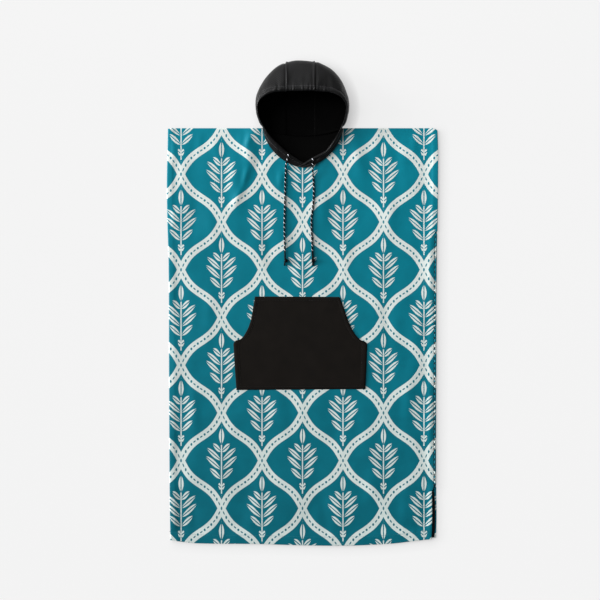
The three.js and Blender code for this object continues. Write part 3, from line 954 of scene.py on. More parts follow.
def tube(
    name: str, points: Sequence[Vector], radius: float, material: bpy.types.Material, sides: int = 12
) -> bpy.types.Object:
    """Extrudes a round cord along a line, with its UV map along and around it.

    Args:
        name: Name of the piece.
        points: The cord's middle line, in millimetres.
        radius: Its radius.
        material: Its material.
        sides: Faces around it.

    Returns:
        The cord as a closed mesh.
    """
    bm = bmesh.new()
    uv_layer = bm.loops.layers.uv.new(CLOTH_UV)
    lengths = lengths_along(points)
    last = len(points) - 1
    headings = [(points[min(k + 1, last)] - points[max(k - 1, 0)]).normalized() for k in range(last + 1)]
    start = bmesh.ops.create_circle(bm, cap_ends=True, segments=sides, radius=radius * MM)["verts"]
    up = Vector((0, 0, 1))
    frames = []
    for heading in headings:
        across = heading.cross(up)
        across = across.normalized() if across.length > 1e-4 else Vector((1, 0, 0))
        up = across.cross(heading).normalized()
        frames.append(Matrix((across, up, heading)).transposed().to_4x4())
    place = [Matrix.Translation(point * MM) @ turn for point, turn in zip(points, frames)]
    bmesh.ops.transform(bm, matrix=place[0], verts=start)
    ring = list(bm.edges)
    uv_at: dict[bmesh.types.BMVert, tuple[float, int]] = {vert: (0.0, k) for k, vert in enumerate(start)}
    for k in range(1, last + 1):
        made = bmesh.ops.extrude_edge_only(bm, edges=ring)["geom"]
        verts = [item for item in made if isinstance(item, bmesh.types.BMVert)]
        ring = [item for item in made if isinstance(item, bmesh.types.BMEdge)]
        bmesh.ops.transform(bm, matrix=place[k] @ place[k - 1].inverted(), verts=verts)
        local = place[k].inverted()
        for vert in verts:
            spot = local @ vert.co
            turn = math.atan2(spot.y, spot.x) / (2 * math.pi) * sides
            uv_at[vert] = (lengths[k], round(turn) % sides)
    bmesh.ops.holes_fill(bm, edges=ring, sides=sides)
    bmesh.ops.recalc_face_normals(bm, faces=bm.faces)
    for face in bm.faces:
        face.smooth = len(face.verts) == 4
        arounds = [uv_at[loop.vert][1] for loop in face.loops]
        wraps = max(arounds) - min(arounds) > sides / 2
        for loop in face.loops:
            run, turn = uv_at[loop.vert]
            turn = turn + sides if wraps and turn < sides / 2 else turn
            loop[uv_layer].uv = ((lengths[-1] - run) * MM, turn / sides)
    return finish_mesh(name, bm, [material])


def curve_through(points: Sequence[Vector], steps: int) -> list[Vector]:
    """Smooth line through points, with a number of steps between each two.

    Args:
        points: The points that it passes.
        steps: Steps from one to the next.

    Returns:
        The line's points.
    """
    line = []
    last = len(points) - 1
    for k in range(last):
        a, b = points[max(k - 1, 0)], points[k]
        c, d = points[k + 1], points[min(k + 2, last)]
        for t in spread(0, 1, steps)[: steps if k < last - 1 else steps + 1]:
            line.append(
                0.5 * ((2 * b) + (c - a) * t + (2 * a - 5 * b + 4 * c - d) * t**2 + (3 * b - a - 3 * c + d) * t**3)
            )
    return line


@dataclass
class Body:
    """Front and back panels, laid on each other, with the tape of the side vents."""

    cloth: float = 1.2
    tape: float = 1.0
    shoulder_y: float = 484
    hem_depth: float = 26
    side_hem: float = 14
    loft: float = 2.8
    loft_reach: float = 70
    arm_top: float = 440
    arm_bottom: float = 208
    vent_top: float = -518
    vent_inset: float = 12
    tape_inset: float = 4.4
    tape_width: float = 11
    tape_bottom: float = -648
    blend: float = 8
    roll_width: float = 6
    seam_height: float = 5
    neck_x: float = 1.4
    neck_half: float = 111
    front_drop: float = 109.5
    back_drop: float = 18
    neck_round: float = 1.7
    neck_stitch: float = 3.4
    hem_stitch: float = 24
    yoke_y: float = 340
    first_row: float = -618

    def left(self, y: float) -> float:
        """Left edge of the laid body."""
        return read(SIDE_EDGES, "y", "left", y)

    def right(self, y: float) -> float:
        """Right edge of the laid body."""
        return read(SIDE_EDGES, "y", "right", y)

    def hem(self, x: float) -> float:
        """Bottom edge of the front."""
        return read(HEM_EDGE, "x", "y", x)

    def sewn(self, y: float) -> float:
        """1 where the side is sewn, 0 along the arm slit and the vent."""
        rise = smooth(y, self.arm_bottom - self.blend, self.arm_bottom)
        arm = rise * (1 - smooth(y, self.arm_top, self.arm_top + 2 * self.blend))
        return (1 - arm) * smooth(y, self.vent_top, self.vent_top + self.blend)

    def rolled(self, y: float) -> float:
        """1 where the back's right edge rolls over onto the front."""
        low = self.arm_bottom - 2 * self.blend
        below_arm = 1 - smooth(y, low, low + self.blend)
        return below_arm * smooth(y, self.vent_top + self.blend, self.vent_top + 2 * self.blend)

    def shoulder(self, x: float) -> float:
        """Height of the fold at the shoulders, whose outer corners are rounded off."""
        return self.shoulder_y - 7 * smooth(x, 358, 377) ** 1.5 - 2.5 * smooth(-x, 364, 376)

    def vented(self, y: float) -> float:
        """1 along the side vents."""
        return 1 - smooth(y, self.vent_top, self.vent_top + self.blend)

    def neck_drop(self, x: float) -> float:
        """Depth of the front neckline below the shoulder."""
        share = min(1.0, abs(x - self.neck_x) / self.neck_half)
        return self.front_drop * (1 - share**self.neck_round) ** (1 / self.neck_round)

    def neckline(self, turn: float, beyond: float) -> tuple[float, float]:
        """Point of the front neckline at an angle from its lowest point, or some way beyond its edge."""
        power = 2 / self.neck_round
        s, c = math.sin(turn), max(0.0, math.cos(turn))
        x = self.neck_x + (self.neck_half + beyond) * math.copysign(abs(s) ** power, s)
        return x, self.shoulder_y - (self.front_drop + beyond) * c**power

    def back_neck_drop(self, x: float) -> float:
        """Depth of the back neckline below the shoulder."""
        return self.back_drop * max(0.0, 1 - ((x - self.neck_x) / self.neck_half) ** 2)

    def front_right(self, y: float) -> float:
        """Right edge of the front panel, beside the rolled seam or clear of the tape."""
        beside = mix(-0.3, self.roll_width + 0.5, self.rolled(y) if y > 0 else 1)
        return self.right(y) - mix(beside, self.vent_inset, self.vented(y))

    def hem_share(self, x: float, y: float) -> float:
        """1 where the front's cloth is doubled by a hem or a seam allowance."""
        from_side = min(x - self.left(y), self.front_right(y) - x)
        side = 1 - smooth(from_side, self.side_hem, self.side_hem + 4)
        return max(side, 1 - smooth(y - self.hem(x), self.hem_depth, self.hem_depth + 2))

    def under(self, x: float, y: float) -> float:
        """Underside of the front panel, before its edges turn down."""
        from_side = min(x - self.left(y), self.right(y) - x)
        from_hem = y - self.hem(x)
        inside = smooth(from_side, 0, self.loft_reach) * smooth(from_hem, 0, self.loft_reach)
        inside *= smooth(self.shoulder_y - y, -20, 60)
        tape = (self.tape + SEAM_GAP) * self.vented(y - 10)
        tape_edge = self.tape_inset + self.tape_width
        tape *= 1 - smooth(from_side, tape_edge + 4, tape_edge + 12)
        lift = (self.seam_height - 3 * self.cloth - SEAM_GAP) * self.sewn(y) * (1 - smooth(from_side, 10, 34))
        hem = self.cloth * max(
            1 - smooth(from_side, self.side_hem + 2, self.side_hem + 8),
            1 - smooth(from_hem, self.hem_depth + 2, self.hem_depth + 12),
        )
        folds = crease_height(MAIN_FOLDS, x, y) * smooth(from_side, 0, 20)
        return self.cloth + SEAM_GAP + self.loft * inside + folds + max(tape + hem, lift, hem)

    def top(self, x: float, y: float) -> float:
        """Top of the front panel as the solid has it."""
        from_edge = min(x - self.left(y), self.shoulder(x) - y)
        from_open = min(self.front_right(y) - x, y - self.hem(x))
        rounded = edge_round(from_edge, 2.6, 1.8) + edge_round(from_open, 1.6, 0.8)
        return self.under(x, y) + self.cloth * (1 + self.hem_share(x, y)) - rounded

    def relief(self, x: float, y: float) -> float:
        """Fine creases and unevenness of the laid front, over the solid's form."""
        from_side = min(x - self.left(y), self.front_right(y) - x)
        from_hem = y - self.hem(x)
        calm = smooth(min(from_side, from_hem, self.shoulder_y - y), 2, 34)
        wander = 1.5 * noise.noise(Vector((x / 95, y / 130, 3.1))) + 0.8 * noise.noise(Vector((x / 38, y / 60, 8.7)))
        stitched = math.exp(-(((from_hem - self.hem_depth + 2) / 2.2) ** 2))
        puckers = noise.noise(Vector((x / 9, from_hem / 60, 1.7))) * math.exp(-(((from_hem - 24) / 16) ** 2))
        side = noise.noise(Vector((from_side / 50, y / 13, 5.2))) * math.exp(-(((from_side - 10) / 12) ** 2))
        fine = 1.4 * crease_height(SOFT_CREASES, x, y) + wander
        return calm * fine + 0.5 * (puckers + side) - 0.5 * stitched

    def neck_columns(self, steps: int) -> list[float]:
        """X of columns across the neckline, closer together towards its ends."""
        turns = [math.sin(math.radians(turn)) for turn in spread(-90, 90, steps)]
        return [self.neck_x + self.neck_half * math.copysign(abs(s) ** 1.1, s) for s in turns]

    def front_columns(self) -> list[tuple[str, float]]:
        """Columns of the front's grid: what each is measured from, and its value."""
        left = [("left", d) for d in (0, 0, 0.5, 1.2, 2.6, 6, 12, 16, 21)]
        right = [("right", d) for d in (21, 16, 12, 6, 2.2, 1, 0.3, 0)]
        middle = [*spread(-338, -116, 38), *self.neck_columns(44), *spread(119, 330, 38)]
        return left + [("x", x) for x in middle] + right

    def rows(self, hem: float, top: float) -> list[float]:
        """Heights of the points of one column.

        Args:
            hem: Bottom end of the column.
            top: Top end, at the shoulder or the neckline.

        Returns:
            The heights, from the hem up.
        """
        low = [hem + d for d in (0, 0.3, 0.8, 2, 6, 12, 18, 22, 24, 26, 29)]
        middle = spread(self.first_row, self.yoke_y, 137)
        yoke = spread(self.yoke_y, top - 9, 21)[1:]
        return low + middle + yoke + [top - d for d in (6, 3.6, 2, 1, 0.4, 0, 0)]

    def build_front(self, finishes: Finishes) -> bpy.types.Object:
        """Makes the front panel.

        Args:
            finishes: The garment's materials.

        Returns:
            The piece, which replaces its solid.
        """
        columns = self.front_columns()
        count = len(self.rows(0, 0))

        def column_x(i: int, y: float) -> float:
            """Place of a column at a height."""
            kind, value = columns[i]
            if kind == "left":
                return self.left(y) + value
            return value if kind == "x" else self.front_right(y) - value

        grids = []
        for i in range(len(columns)):
            x = column_x(i, self.shoulder_y)
            grids.append(self.rows(self.hem(column_x(i, 0)), self.shoulder(x) - self.neck_drop(x)))

        def place(i: int, j: int) -> Vector:
            """Place of a point of the front."""
            y = grids[i][j]
            x = column_x(i, y)
            z = self.top(x, y) + self.relief(x, y)
            shoulder = abs(x - self.neck_x) >= self.neck_half - 0.5
            if i == 0:
                z = mix(self.under(x, y) + 0.3, self.cloth + SEAM_GAP + 0.3, self.sewn(y))
            if j == count - 1:
                z = self.cloth + SEAM_GAP + 0.2 if shoulder else z - 0.8
            return Vector((x, y, max(z, self.cloth + SEAM_GAP + 0.2)))

        def share(i: int, j: int) -> float:
            """Share of a hem's thickness at a point of the front."""
            point = place(i, j)
            return 0.5 + 0.5 * self.hem_share(point.x, point.y)

        materials = (finishes.print, finishes.inside)
        piece = grid_piece("front_panel", len(columns), count, place, 2 * self.cloth, materials, share=share)
        return dress(piece, Slot.PRINT, "front")

    def build_back(self, finishes: Finishes) -> bpy.types.Object:
        """Makes the back panel, whose right edge rolls up at the seam.

        Args:
            finishes: The garment's materials.

        Returns:
            The piece, which replaces its solid.
        """
        columns = [*spread(-338, -116, 20), *self.neck_columns(30), *spread(119, 338, 20)]
        left = [0, 1, 6, 14]
        rows_at = [3 + d for d in (0, 1, 8, 22, 26)]
        middle = spread(-612, 440, 105)
        count = len(rows_at) + len(middle) + 4

        def heights(x: float) -> list[float]:
            """Heights of the points of the column at x."""
            top = self.shoulder(x) - self.back_neck_drop(x)
            return [self.hem(x) + d for d in rows_at] + middle + spread(450, top, 3)

        def place(i: int, j: int) -> Vector:
            """Place of a point of the back."""
            if i < len(left):
                y = heights(self.left(self.shoulder_y) + left[i])[j]
                return Vector((self.left(y) + 0.6 + left[i], y, 0))
            i -= len(left)
            if i < len(columns):
                return Vector((columns[i], heights(columns[i])[j], 0))
            step = ROLL[i - len(columns)]
            y = heights(self.right(self.shoulder_y) - step.flat_in)[j]
            share = self.rolled(y)
            inward = mix(step.flat_in, step.rolled_in, share)
            return Vector((self.right(y) - inward, y, step.rolled_z * share))

        def hemmed(i: int, j: int) -> bool:
            """Whether a face is in a turned hem, beside the vent tape or below the front's edge."""
            return j < 4 or i < 3 or i > total - 8

        def share(i: int, j: int) -> float:
            """Share of a hem's thickness at a point of the back."""
            return 1 if j < 4 else 0.5

        total = len(left) + len(columns) + len(ROLL)
        piece = grid_piece(
            "back_panel", total, count, place, 2 * self.cloth, (finishes.print, finishes.inside),
            share=share, hemmed=hemmed, face_down=True,
        )
        return dress(piece, Slot.PRINT, "back")

    def build_tape(self, side: Side, finishes: Finishes) -> bpy.types.Object:
        """Makes the tape that faces a side vent.

        Args:
            side: Which vent.
            finishes: The garment's materials.

        Returns:
            The piece, which replaces its solid.
        """
        ends = spread(self.vent_top - 5, self.tape_bottom, 30)
        across = spread(self.tape_inset, self.tape_inset + self.tape_width, 8)
        bed = 2 * self.cloth + SEAM_GAP
        rounded = [0.35, 0.08, 0, 0, 0, 0, 0, 0.08, 0.35]

        def place(i: int, j: int) -> Vector:
            """Place of a point of the tape."""
            y = ends[len(ends) - 1 - j]
            inner = len(across) - 1
            k = i if side is Side.LEFT else inner - i
            slack = 2.4 * smooth(y, self.vent_top - 46, self.vent_top) + noise.noise(Vector((0.4, y / 26, 1.1)))
            inward = across[k] + slack * (1 - k / inner)
            x = self.left(y) + inward if side is Side.LEFT else self.right(y) - inward
            return Vector((x, y, bed + self.tape - rounded[i]))

        name = "vent_tape_" + side.name.lower()
        materials = (finishes.tape, finishes.tape)
        piece = grid_piece(name + "_twill", len(across), len(ends), place, 0.6 * self.tape, materials)
        return dress(piece, Slot.TAPE, name)

    def stitches(self, finishes: Finishes) -> None:
        """Sews the hem, the neckline and the right side seam."""
        hem = [self.lay(Vector((x, self.hem(x) + self.hem_stitch, 0)), 0.1) for x in spread(-362, 358, 240)]
        stitch_row("hem_stitches", hem, finishes.teal_thread, Slot.PRINT, width=0.7)
        turns = [math.radians(turn) for turn in spread(-86, 86, 90)]
        neck = [self.lay(Vector((*self.neckline(turn, self.neck_stitch), 0)), 0.1) for turn in turns]
        stitch_row("neckline_stitches", neck, finishes.teal_thread, Slot.PRINT, width=0.7)
        seam = []
        for y in spread(190, -512, 160):
            drift = 0.7 * noise.noise(Vector((0.3, y / 24, 2.2)))
            seam.append(Vector((self.right(y) - self.roll_width + drift, y, self.seam_height + 0.3)))
        # Wide, long black stitches: real seam stitches that also stand in for painted shade in the groove beside the
        # rolled seam.
        stitch_row("side_seam_stitches", seam, finishes.black_thread, Slot.PRINT, stitch=9, gap=5, width=2.2)

    def lay(self, point: Vector, above: float) -> Vector:
        """Point moved onto the front's surface."""
        return Vector((point.x, point.y, self.top(point.x, point.y) + self.relief(point.x, point.y) + above))

    def build(self, finishes: Finishes) -> None:
        """Makes both panels, the tapes and their sewing."""
        self.build_back(finishes)
        self.build_front(finishes)
        for side in Side:
            self.build_tape(side, finishes)
        self.stitches(finishes)


@dataclass
class Hood:
    """Three-panel hood, laid open: a low round wall from the floor up to the rim of the face opening."""

    body: Body
    cloth: float = 1.3
    casing_width: float = 15
    x: float = -1.4
    y: float = 544.5
    seam_radius: float = 127
    seam_gap: float = 0.5
    floor_turn: float = 14
    left_seam: float = 21.6
    right_seam: float = 17.5
    shoulder: float = 119
    back_reach: float = 107.5
    corner_rise: float = 4.6
    wall_steps: int = 34
    turn_steps: int = 10
    floor_steps: int = 12
    tape_step: int = 8
    allowance: float = 5
    casing_groove: float = 1.4
    casing_bulge: float = 2.6
    loose: float = 0.7
    gathers: float = 3.1
    drag: float = 1.4
    seam_groove: float = 2.4
    unevenness: float = 1.8

    @property
    def steps(self) -> int:
        """Points of each section, from the rim over the sewn edge to the end of its seam allowance."""
        return self.wall_steps + self.turn_steps + self.floor_steps + 3

    def floor_section(self, side: float, turn: float, rim: Rim, neck_x: float) -> list[Vector]:
        """Section of the hood from its rim out over the wall, under it and in to the back neckline.

        Args:
            side: Sign of X.
            turn: Degrees from the crown.
            rim: The rim there.
            neck_x: Where the section is sewn on.

        Returns:
            Its points.
        """
        angle = math.radians(turn)
        out = Vector((side * rim.radius * math.sin(angle), rim.radius * math.cos(angle), rim.widest))
        out += Vector((self.x, self.y, 0))
        top = Vector((self.x + side * rim.out, rim.y, rim.z))
        sewn_y = self.body.shoulder_y + 2 * SEAM_GAP - self.body.back_neck_drop(neck_x)
        sewn = Vector((neck_x, sewn_y, 0))
        inward = Vector((sewn.x - out.x, sewn.y - out.y, 0))
        width = min(self.floor_turn, 0.62 * inward.length)
        inward.normalize()
        shoulder = Vector((out.x, out.y, mix(out.z, top.z, 0.52))).lerp(top, 0.05)
        points = []
        for share in spread(0, 1, self.wall_steps):
            t = 1 - (1 - share) ** 1.15
            points.append(bow(top, shoulder, out, t))
        for share in spread(0, 1, self.turn_steps)[1:]:
            a = share * math.pi / 2
            point = out + inward * width * (1 - math.cos(a))
            points.append(Vector((point.x, point.y, rim.widest * (1 - math.sin(a)))))
        flat = points[-1]
        points += [flat.lerp(sewn, share) for share in spread(0, 1, self.floor_steps)[1:]]
        return points + [sewn + Vector((0, -reach, self.body.cloth + SEAM_GAP)) for reach in (0.6, self.allowance)]

    def lapel_section(self, row: Lapel, end: Vector) -> list[Vector]:
        """Section of the hood's front edge, from its rim to the neckline and down inside it."""
        rim = Vector((row.x, row.y, row.z))
        crest = rim.lerp(end, 0.45)
        crest.z = mix(rim.z, end.z, 0.28)
        points = [bow(rim, crest, end, t) for t in spread(0, 1, self.steps - 3)]
        inward = Vector((self.body.neck_x - end.x, self.body.shoulder_y - end.y, 0)).normalized() * 0.8
        low = self.body.under(end.x, end.y)
        return points + [Vector((*(end + inward).xy, z)) for z in (mix(low, end.z, 0.5), low - SEAM_GAP)]

    def side_sections(self, side: Side) -> list[list[Vector]]:
        """All sections of one side panel, from its crown seam to its front end."""
        s = side.value
        rims, seam = (LEFT_RIM, self.left_seam) if side is Side.LEFT else (RIGHT_RIM, self.right_seam)
        lapels = LEFT_LAPEL if side is Side.LEFT else RIGHT_LAPEL
        seam_x = self.x + s * self.seam_radius * math.sin(math.radians(seam))
        sections = []
        for turn in spread(seam, self.shoulder - 5, 62):
            share = (turn - seam) / (self.shoulder - seam)
            rim = Rim(*[read(rims, "turn", key, turn) for key in Rim._fields])
            sections.append(self.floor_section(s, turn, rim, mix(seam_x, self.x + s * self.back_reach, share)))
        for along in spread(0, lapels[-1].along, 56):
            row = Lapel(*[read(lapels, "along", key, along) for key in Lapel._fields])
            turn = math.pi * ((along if side is Side.LEFT else 1 - along) - 0.5)
            edge = self.body.neckline(turn, -SEAM_GAP)
            sewn = Vector((*edge, self.body.top(*edge) + row.lift + self.cloth))
            corner = Vector((self.x + s * self.back_reach, self.body.shoulder_y + 3 * SEAM_GAP, self.corner_rise))
            sections.append(self.lapel_section(row, corner.lerp(sewn, smooth(along, 0, 0.045))))
        for point in sections[0]:
            point.x += s * self.seam_gap
        tucked = [point - Vector((s * self.allowance, 0, 0)) for point in sections[0]]
        return [tucked, *sections]

    def crown_sections(self) -> list[list[Vector]]:
        """All sections of the crown strip, from the left seam to the right one."""
        sections = []
        for turn in spread(-self.left_seam, self.right_seam, 44):
            rims, seam = (LEFT_RIM, self.left_seam) if turn < 0 else (RIGHT_RIM, self.right_seam)
            share = abs(turn) / seam
            start = rims[0]._replace(turn=turn)
            rim = Rim(*[mix(a, b, share**2) for a, b in zip(CROWN_RIM, start)])._replace(out=start.out * share)
            neck_x = self.x + self.seam_radius * math.sin(math.radians(turn))
            sections.append(self.floor_section(math.copysign(1, turn), abs(turn), rim, neck_x))
        return sections

    def relief(self, distance: float, casing: float, run: float, seams: Sequence[float], cut: Cut) -> float:
        """How far the cloth stands proud of the plain form.

        Args:
            distance: Distance from the rim along the section.
            casing: Width of the casing there.
            run: Distance along the rim.
            seams: Where seams cross, as distances along the rim.
            cut: The panel's cut, with where it starts and how it is sewn.

        Returns:
            The height in millimetres.
        """
        height = -self.casing_groove * math.exp(-(((distance - casing) / 1.6) ** 2))
        height += self.casing_bulge * math.sin(math.pi * clamp(distance / casing))
        gathered = 1 - smooth(run, cut.gathered - 20, cut.gathered)
        gathers = noise.noise(Vector((run / 4.2, distance / 60, cut.start)))
        height += (self.loose + self.gathers * gathered) * gathers * math.exp(-(((distance - 8) / 10) ** 2))
        drag = noise.noise(Vector((run / 15, distance / 60, cut.start + 4)))
        height += self.drag * drag * math.exp(-(((distance - 30) / 24) ** 2))
        for seam in seams:
            off = abs(run - seam)
            height += cut.seam_rise * math.exp(-(((off - 4.6) / 2.4) ** 2))
            height -= self.seam_groove * math.exp(-((off / 2.2) ** 2))
        return height + self.unevenness * noise.noise(Vector((run / 46, distance / 40, cut.start + 9)))

    def build_panel(
        self, side: Side | None, sections: list[list[Vector]], cut: Cut, finishes: Finishes
    ) -> bpy.types.Object:
        """Makes one panel of the hood with its stitches.

        Args:
            side: Which side panel, or None for the crown.
            sections: Its sections.
            cut: Its flat cut.
            finishes: The garment's materials.

        Returns:
            The piece.
        """
        node = "hood_" + (side.name.lower() if side else "crown")
        facing = -1 if side is Side.LEFT else 1
        last = len(sections) - 1
        runs = [lengths_along(section) for section in sections]
        casings = [min(self.casing_width, 0.7 * run[-1]) for run in runs]
        along = lengths_along([section[self.tape_step] for section in sections])
        seams = [along[1]] if side else [0.0, along[-1]]

        def place(i: int, j: int) -> Vector:
            """Place of a point of the panel."""
            point = sections[i][j]
            across = sections[min(i + 1, last)][j] - sections[max(i - 1, 0)][j]
            down = sections[i][min(j + 1, self.steps - 1)] - sections[i][max(j - 1, 0)]
            normal = across.cross(down).normalized() * facing
            if side and i == 0:
                return point - normal * (0.4 + 2 * self.cloth * share(1, j))
            calm = smooth(runs[i][-1] - runs[i][j], 4, 18) * smooth(point.z, 1, 9)
            return point + normal * self.relief(runs[i][j], casings[i], along[i], seams, cut) * calm

        def flat_place(i: int, j: int) -> Vector:
            """Place of the point on the flat cloth."""
            return Vector((cut.start + along[i], -runs[i][j], 0))

        def share(i: int, j: int) -> float:
            """Share of the casing's thickness at a point, less at the rounded rim."""
            if side and i == 0:
                return 0.1
            doubled = 1 - smooth(runs[i][j], casings[i] - 3, casings[i] + 1)
            return (0.5 + 0.5 * doubled) * (0.3, 0.85)[j] if j < 2 else 0.5 + 0.5 * doubled

        def sewn_line(distance: float) -> list[Vector]:
            """Line across the panel at a distance from the casing's edge."""
            line = []
            for i, run in enumerate(runs):
                target = casings[i] + distance
                j = next(k for k in range(self.steps - 1) if run[k + 1] >= target)
                line.append(place(i, j).lerp(place(i, j + 1), (target - run[j]) / (run[j + 1] - run[j])))
            return line

        materials = (finishes.jersey, finishes.lining)
        piece = grid_piece(
            node + "_panel", last + 1, self.steps, place, 2 * self.cloth, materials, flat_place, share,
            face_down=side is Side.LEFT,
        )
        dress(piece, Slot.HOOD, node)
        # Real casing topstitching, in the lighter thread that carries painted sheen of the gathered band.
        stitch_row(node + "_casing_stitches", sewn_line(0), finishes.casing_thread_painted_sheen, Slot.HOOD, width=1.3)
        for number, i in enumerate([3] if side else [1, last - 1]):
            seam = [place(i, j) for j in range(1, self.wall_steps + self.turn_steps)]
            stitch_row(f"{node}_seam_stitches_{number}", seam, finishes.black_thread, Slot.HOOD, width=0.9)
        return piece

    def build(self, finishes: Finishes) -> None:
        """Makes the three panels and their sewing."""
        self.build_panel(Side.LEFT, self.side_sections(Side.LEFT), LEFT_CUT, finishes)
        self.build_panel(Side.RIGHT, self.side_sections(Side.RIGHT), RIGHT_CUT, finishes)
        self.build_panel(None, self.crown_sections(), CROWN_CUT, finishes)


@dataclass
class Pocket:
    """Kangaroo pocket laid on the front, open at its two slanted sides."""

    body: Body
    cloth: float = 2
    puff: float = 2
    columns: int = 90
    rows: int = 70
    width: float = 370
    upper_step: float = 36
    lower_step: float = 42
    corner: int = 5
    bottom: int = 7

    def ends(self, level: float) -> tuple[Vector, Vector]:
        """Left and right end of the pocket at a level."""
        if level < self.corner:
            values = [read(POCKET_LEVELS, "level", key, level) for key in PocketLevel._fields[1:]]
        else:
            low = min(int(level), len(POCKET_LEVELS) - 2)
            pair = zip(POCKET_LEVELS[low][1:], POCKET_LEVELS[low + 1][1:])
            values = [mix(a, b, level - low) for a, b in pair]
        return Vector((values[0], values[1], 0)), Vector((values[2], values[3], 0))

    def surface(self, share: float, level: float) -> Vector:
        """Point on the pocket's top."""
        left, right = self.ends(level)
        point = left.lerp(right, share)
        puff = self.puff * math.sin(math.pi * share) * math.sin(math.pi * level / self.bottom)
        from_side = min(share * self.width, (1 - share) * self.width)
        from_edge = min(from_side, level * self.upper_step, (self.bottom - level) * self.lower_step)
        rounded = edge_round(from_edge, 3, 1.6)
        hem = 0.5 * (1 - smooth(from_edge, 14, 16)) - 0.5 * math.exp(-(((from_edge - 15) / 1.5) ** 2))
        wander = 0.5 * noise.noise(Vector((point.x / 60, point.y / 55, 12.3)))
        height = self.body.top(point.x, point.y) + 2 * SEAM_GAP + self.cloth + puff - rounded
        return Vector((point.x, point.y, height + (hem + wander) * smooth(from_edge, 0, 5)))

    def build(self, finishes: Finishes) -> None:
        """Makes the pocket and its stitches."""
        edge = [0, 0.002, 0.006, 0.012, 0.02]
        shares = [*edge, *spread(0.03, 0.97, self.columns), *[1 - e for e in reversed(edge)]]
        ends = [0, 0.02, 0.06, 0.12]
        levels = [self.bottom - e for e in ends] + spread(6.8, 0.2, self.rows) + list(reversed(ends))

        def place(i: int, j: int) -> Vector:
            """Place of a point of the pocket."""
            return self.surface(shares[i], levels[j])

        materials = (finishes.fleece, finishes.fleece)
        piece = grid_piece("pocket_fleece_panel", len(shares), len(levels), place, self.cloth, materials)
        dress(piece, Slot.POCKET, "pocket")
        across, down = spread(0.02, 0.98, 60), spread(0.3, 6.8, 70)
        lines = {
            "top": [(share, 0.35) for share in across],
            "bottom": [(share, 6.86) for share in across],
            "left": [(0.038, level) for level in down],
            "right": [(0.962, level) for level in down],
        }
        for name, line in lines.items():
            raised = [self.surface(*place) + Vector((0, 0, 0.1)) for place in line]
            stitch_row(f"pocket_{name}_stitches", raised, finishes.black_thread, Slot.POCKET, width=0.7)


@dataclass
class Drawcord:
    """Drawcord's free end: where it leaves the casing, its route over the front, and its knot."""

    body: Body
    side: Side
    route: Sequence[RoutePoint]
    knot_lean: float
    radius: float = 2.4
    knot_radius: float = 2.3
    wrap_radius: float = 2.5
    wraps: float = 2.6
    tail: float = 20.3

    def line(self) -> list[Vector]:
        """Middle line of the cord."""
        points = []
        for x, y, over in self.route:
            bed = self.body.top(x, y) if over is None else over
            points.append(Vector((x, y, bed + 2 * SEAM_GAP + self.radius)))
        inside_casing = points[0] + Vector((0.8, 4.5, -4.4))
        return curve_through([inside_casing, *points], 12)

    def knot_line(self, end: Vector, heading: Vector) -> list[Vector]:
        """Line of the knot: the cord wraps round itself and leaves a short tail."""
        across = heading.cross(Vector((0, 0, 1))).normalized()
        start = end + Vector((0, 0, 0.6))
        points = [start - heading * 1.5, start + heading * 1.2]
        turns = spread(0, self.wraps * 2 * math.pi, 40)
        for turn in turns:
            share = turn / turns[-1]
            middle = start + heading * (2.6 + 7 * share)
            middle.x += self.knot_lean * math.sin(math.pi * (0.15 + 0.75 * share))
            lift = Vector((0, 0, math.cos(turn) * self.wrap_radius))
            points.append(middle + across * math.sin(turn) * self.wrap_radius + lift)
        for reach in (12.6, 16.4, self.tail):
            points.append(start + heading * reach - Vector((0.03 * reach * self.knot_lean, 0, 0.05 * reach)))
        return points

    def build(self, finishes: Finishes) -> None:
        """Makes the cord and its knot."""
        side = self.side.name.lower()
        line = self.line()
        cord = tube(f"drawcord_{side}_braid", line, self.radius, finishes.cord)
        heading = (line[-1] - line[-3]).normalized()
        knot = tube(f"cord_knot_{side}_wraps", self.knot_line(line[-1], heading), self.knot_radius, finishes.knot)
        length = lengths_along(line)[-1]
        dress(cord, Slot.CORD, f"drawcord_{side}")
        dress(knot, Slot.CORD, f"cord_knot_{side}")
        hole = line[0] + Vector((0, -2.6, self.radius - 0.4))
        turns = spread(0, 2 * math.pi, 24)
        ring = [hole + Vector((3.2 * math.cos(a), 4.6 * math.sin(a), 1.6 * math.sin(a))) for a in turns]
        stitch_row(f"buttonhole_{side}", ring, finishes.black_thread, Slot.HOOD, stitch=2, gap=0.2, width=1.3)


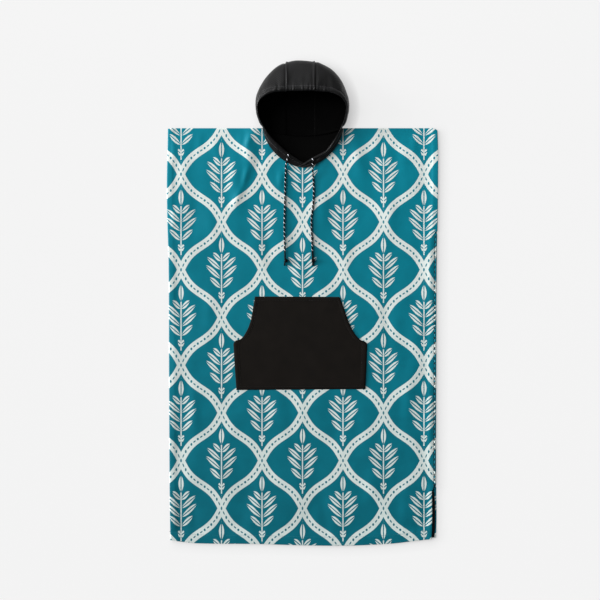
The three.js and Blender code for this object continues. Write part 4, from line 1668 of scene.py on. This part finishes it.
@dataclass
class Studio:
    """Pale floor, soft light and the camera straight above."""

    camera_x: float = -6.9
    camera_y: float = 8.3
    height: float = 4000
    view_width: float = 1662
    floor_albedo: float = 0.12
    floor_glow: float = 0.785
    # Painted shadow on the floor's glow: its share, its reach in millimetres and the way it leans.
    shade_share: float = 0.6
    shade_reach: float = 34
    shade_from: tuple[float, float, float] = (-0.79, 0.49, 0.36)
    floor_drop: float = 0.4
    floor_half: float = 4
    sky: float = 0.2
    key: Lamp = Lamp((-0.82, 0.25, 0.68), 0.4, 0.5)
    raking: Lamp = Lamp((-0.97, 0.16, 0.2), 0.32, 0.35)
    softbox_at: tuple[float, float, float] = (-0.3, 2.0, 0.9)
    softbox_power: float = 8
    softbox_size: float = 1.4
    lamp_distance: float = 3
    sensor: float = 36

    def build_camera(self) -> None:
        """Sets the camera, which looks straight down."""
        data = bpy.data.cameras.new("camera")
        data.sensor_width = self.sensor
        data.lens = data.sensor_width * self.height / self.view_width
        camera = bpy.data.objects.new("camera", data)
        camera.location = Vector((self.camera_x, self.camera_y, self.height)) * MM
        bpy.context.scene.collection.objects.link(camera)
        bpy.context.scene.camera = camera

    def build_light(self) -> None:
        """Sets a broad key and a raking light from the left, a softbox beyond the hood, and an even fill."""
        world = bpy.data.worlds.new("studio")
        world.use_nodes = True
        background = world.node_tree.nodes["Background"]
        background.inputs["Color"].default_value = (1, 1, 1, 1)
        background.inputs["Strength"].default_value = self.sky
        bpy.context.scene.world = world
        for name, lamp in (("key", self.key), ("raking", self.raking)):
            towards = Vector(lamp.towards).normalized()
            data = bpy.data.lights.new(name, "SUN")
            data.angle = lamp.spread
            data.energy = math.pi * lamp.share / towards.z
            self.hang(data, towards * self.lamp_distance)
        softbox = bpy.data.lights.new("softbox", "AREA")
        softbox.size = self.softbox_size
        softbox.energy = self.softbox_power
        self.hang(softbox, Vector(self.softbox_at))

    def hang(self, data: bpy.types.Light, place: Vector) -> None:
        """Puts a light in its place, turned to the garment."""
        lamp = bpy.data.objects.new(data.name, data)
        lamp.location = place
        lamp.rotation_euler = place.to_track_quat("Z", "Y").to_euler()
        bpy.context.scene.collection.objects.link(lamp)

    def build_floor(self) -> None:
        """Lays the plain floor, a light table whose glow carries a painted shadow close to the garment, on the side
        away from the light.
        """
        bm = bmesh.new()
        bmesh.ops.create_grid(bm, x_segments=1, y_segments=1, size=self.floor_half)
        bmesh.ops.translate(bm, verts=bm.verts, vec=(0, 0, -self.floor_drop * MM))
        g = Graph("floor_light_table")
        paint = g.add("BsdfDiffuse", (*[self.floor_albedo] * 3, 1))
        # Painted shadow: ambient occlusion leaning towards the lights dims the glow beside the garment's right and
        # lower edges.
        towards = g.add("CombineXYZ", *self.shade_from)
        named = {"Distance": self.shade_reach * MM, "Normal": towards}
        clear = g.add("AmbientOcclusion", out="AO", named=named, samples=16)
        shaded = self.floor_glow * self.shade_share
        strength = g.add("Math.MULTIPLY_ADD", clear, shaded, self.floor_glow - shaded)
        glow = g.add("Emission", (1, 1, 1, 1), strength)
        g.add("OutputMaterial", g.add("AddShader", paint, glow))
        finish_mesh("floor", bm, [g.material])

    def build(self) -> None:
        """Sets camera, light and floor."""
        self.build_camera()
        self.build_light()
        self.build_floor()


def main() -> None:
    """Builds the garment piece by piece."""
    logging.basicConfig(level=logging.INFO, format="%(name)s %(message)s")
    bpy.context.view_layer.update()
    bpy.context.scene.view_settings.view_transform = "Standard"
    Studio().build()
    finishes = Finishes()
    body = Body()
    Drawcord(body, Side.LEFT, LEFT_ROUTE, 3.2).build(finishes)
    Drawcord(body, Side.RIGHT, RIGHT_ROUTE, 1.4).build(finishes)
    body.build(finishes)
    Hood(body).build(finishes)
    Pocket(body).build(finishes)


if __name__ == "__main__":
    main()
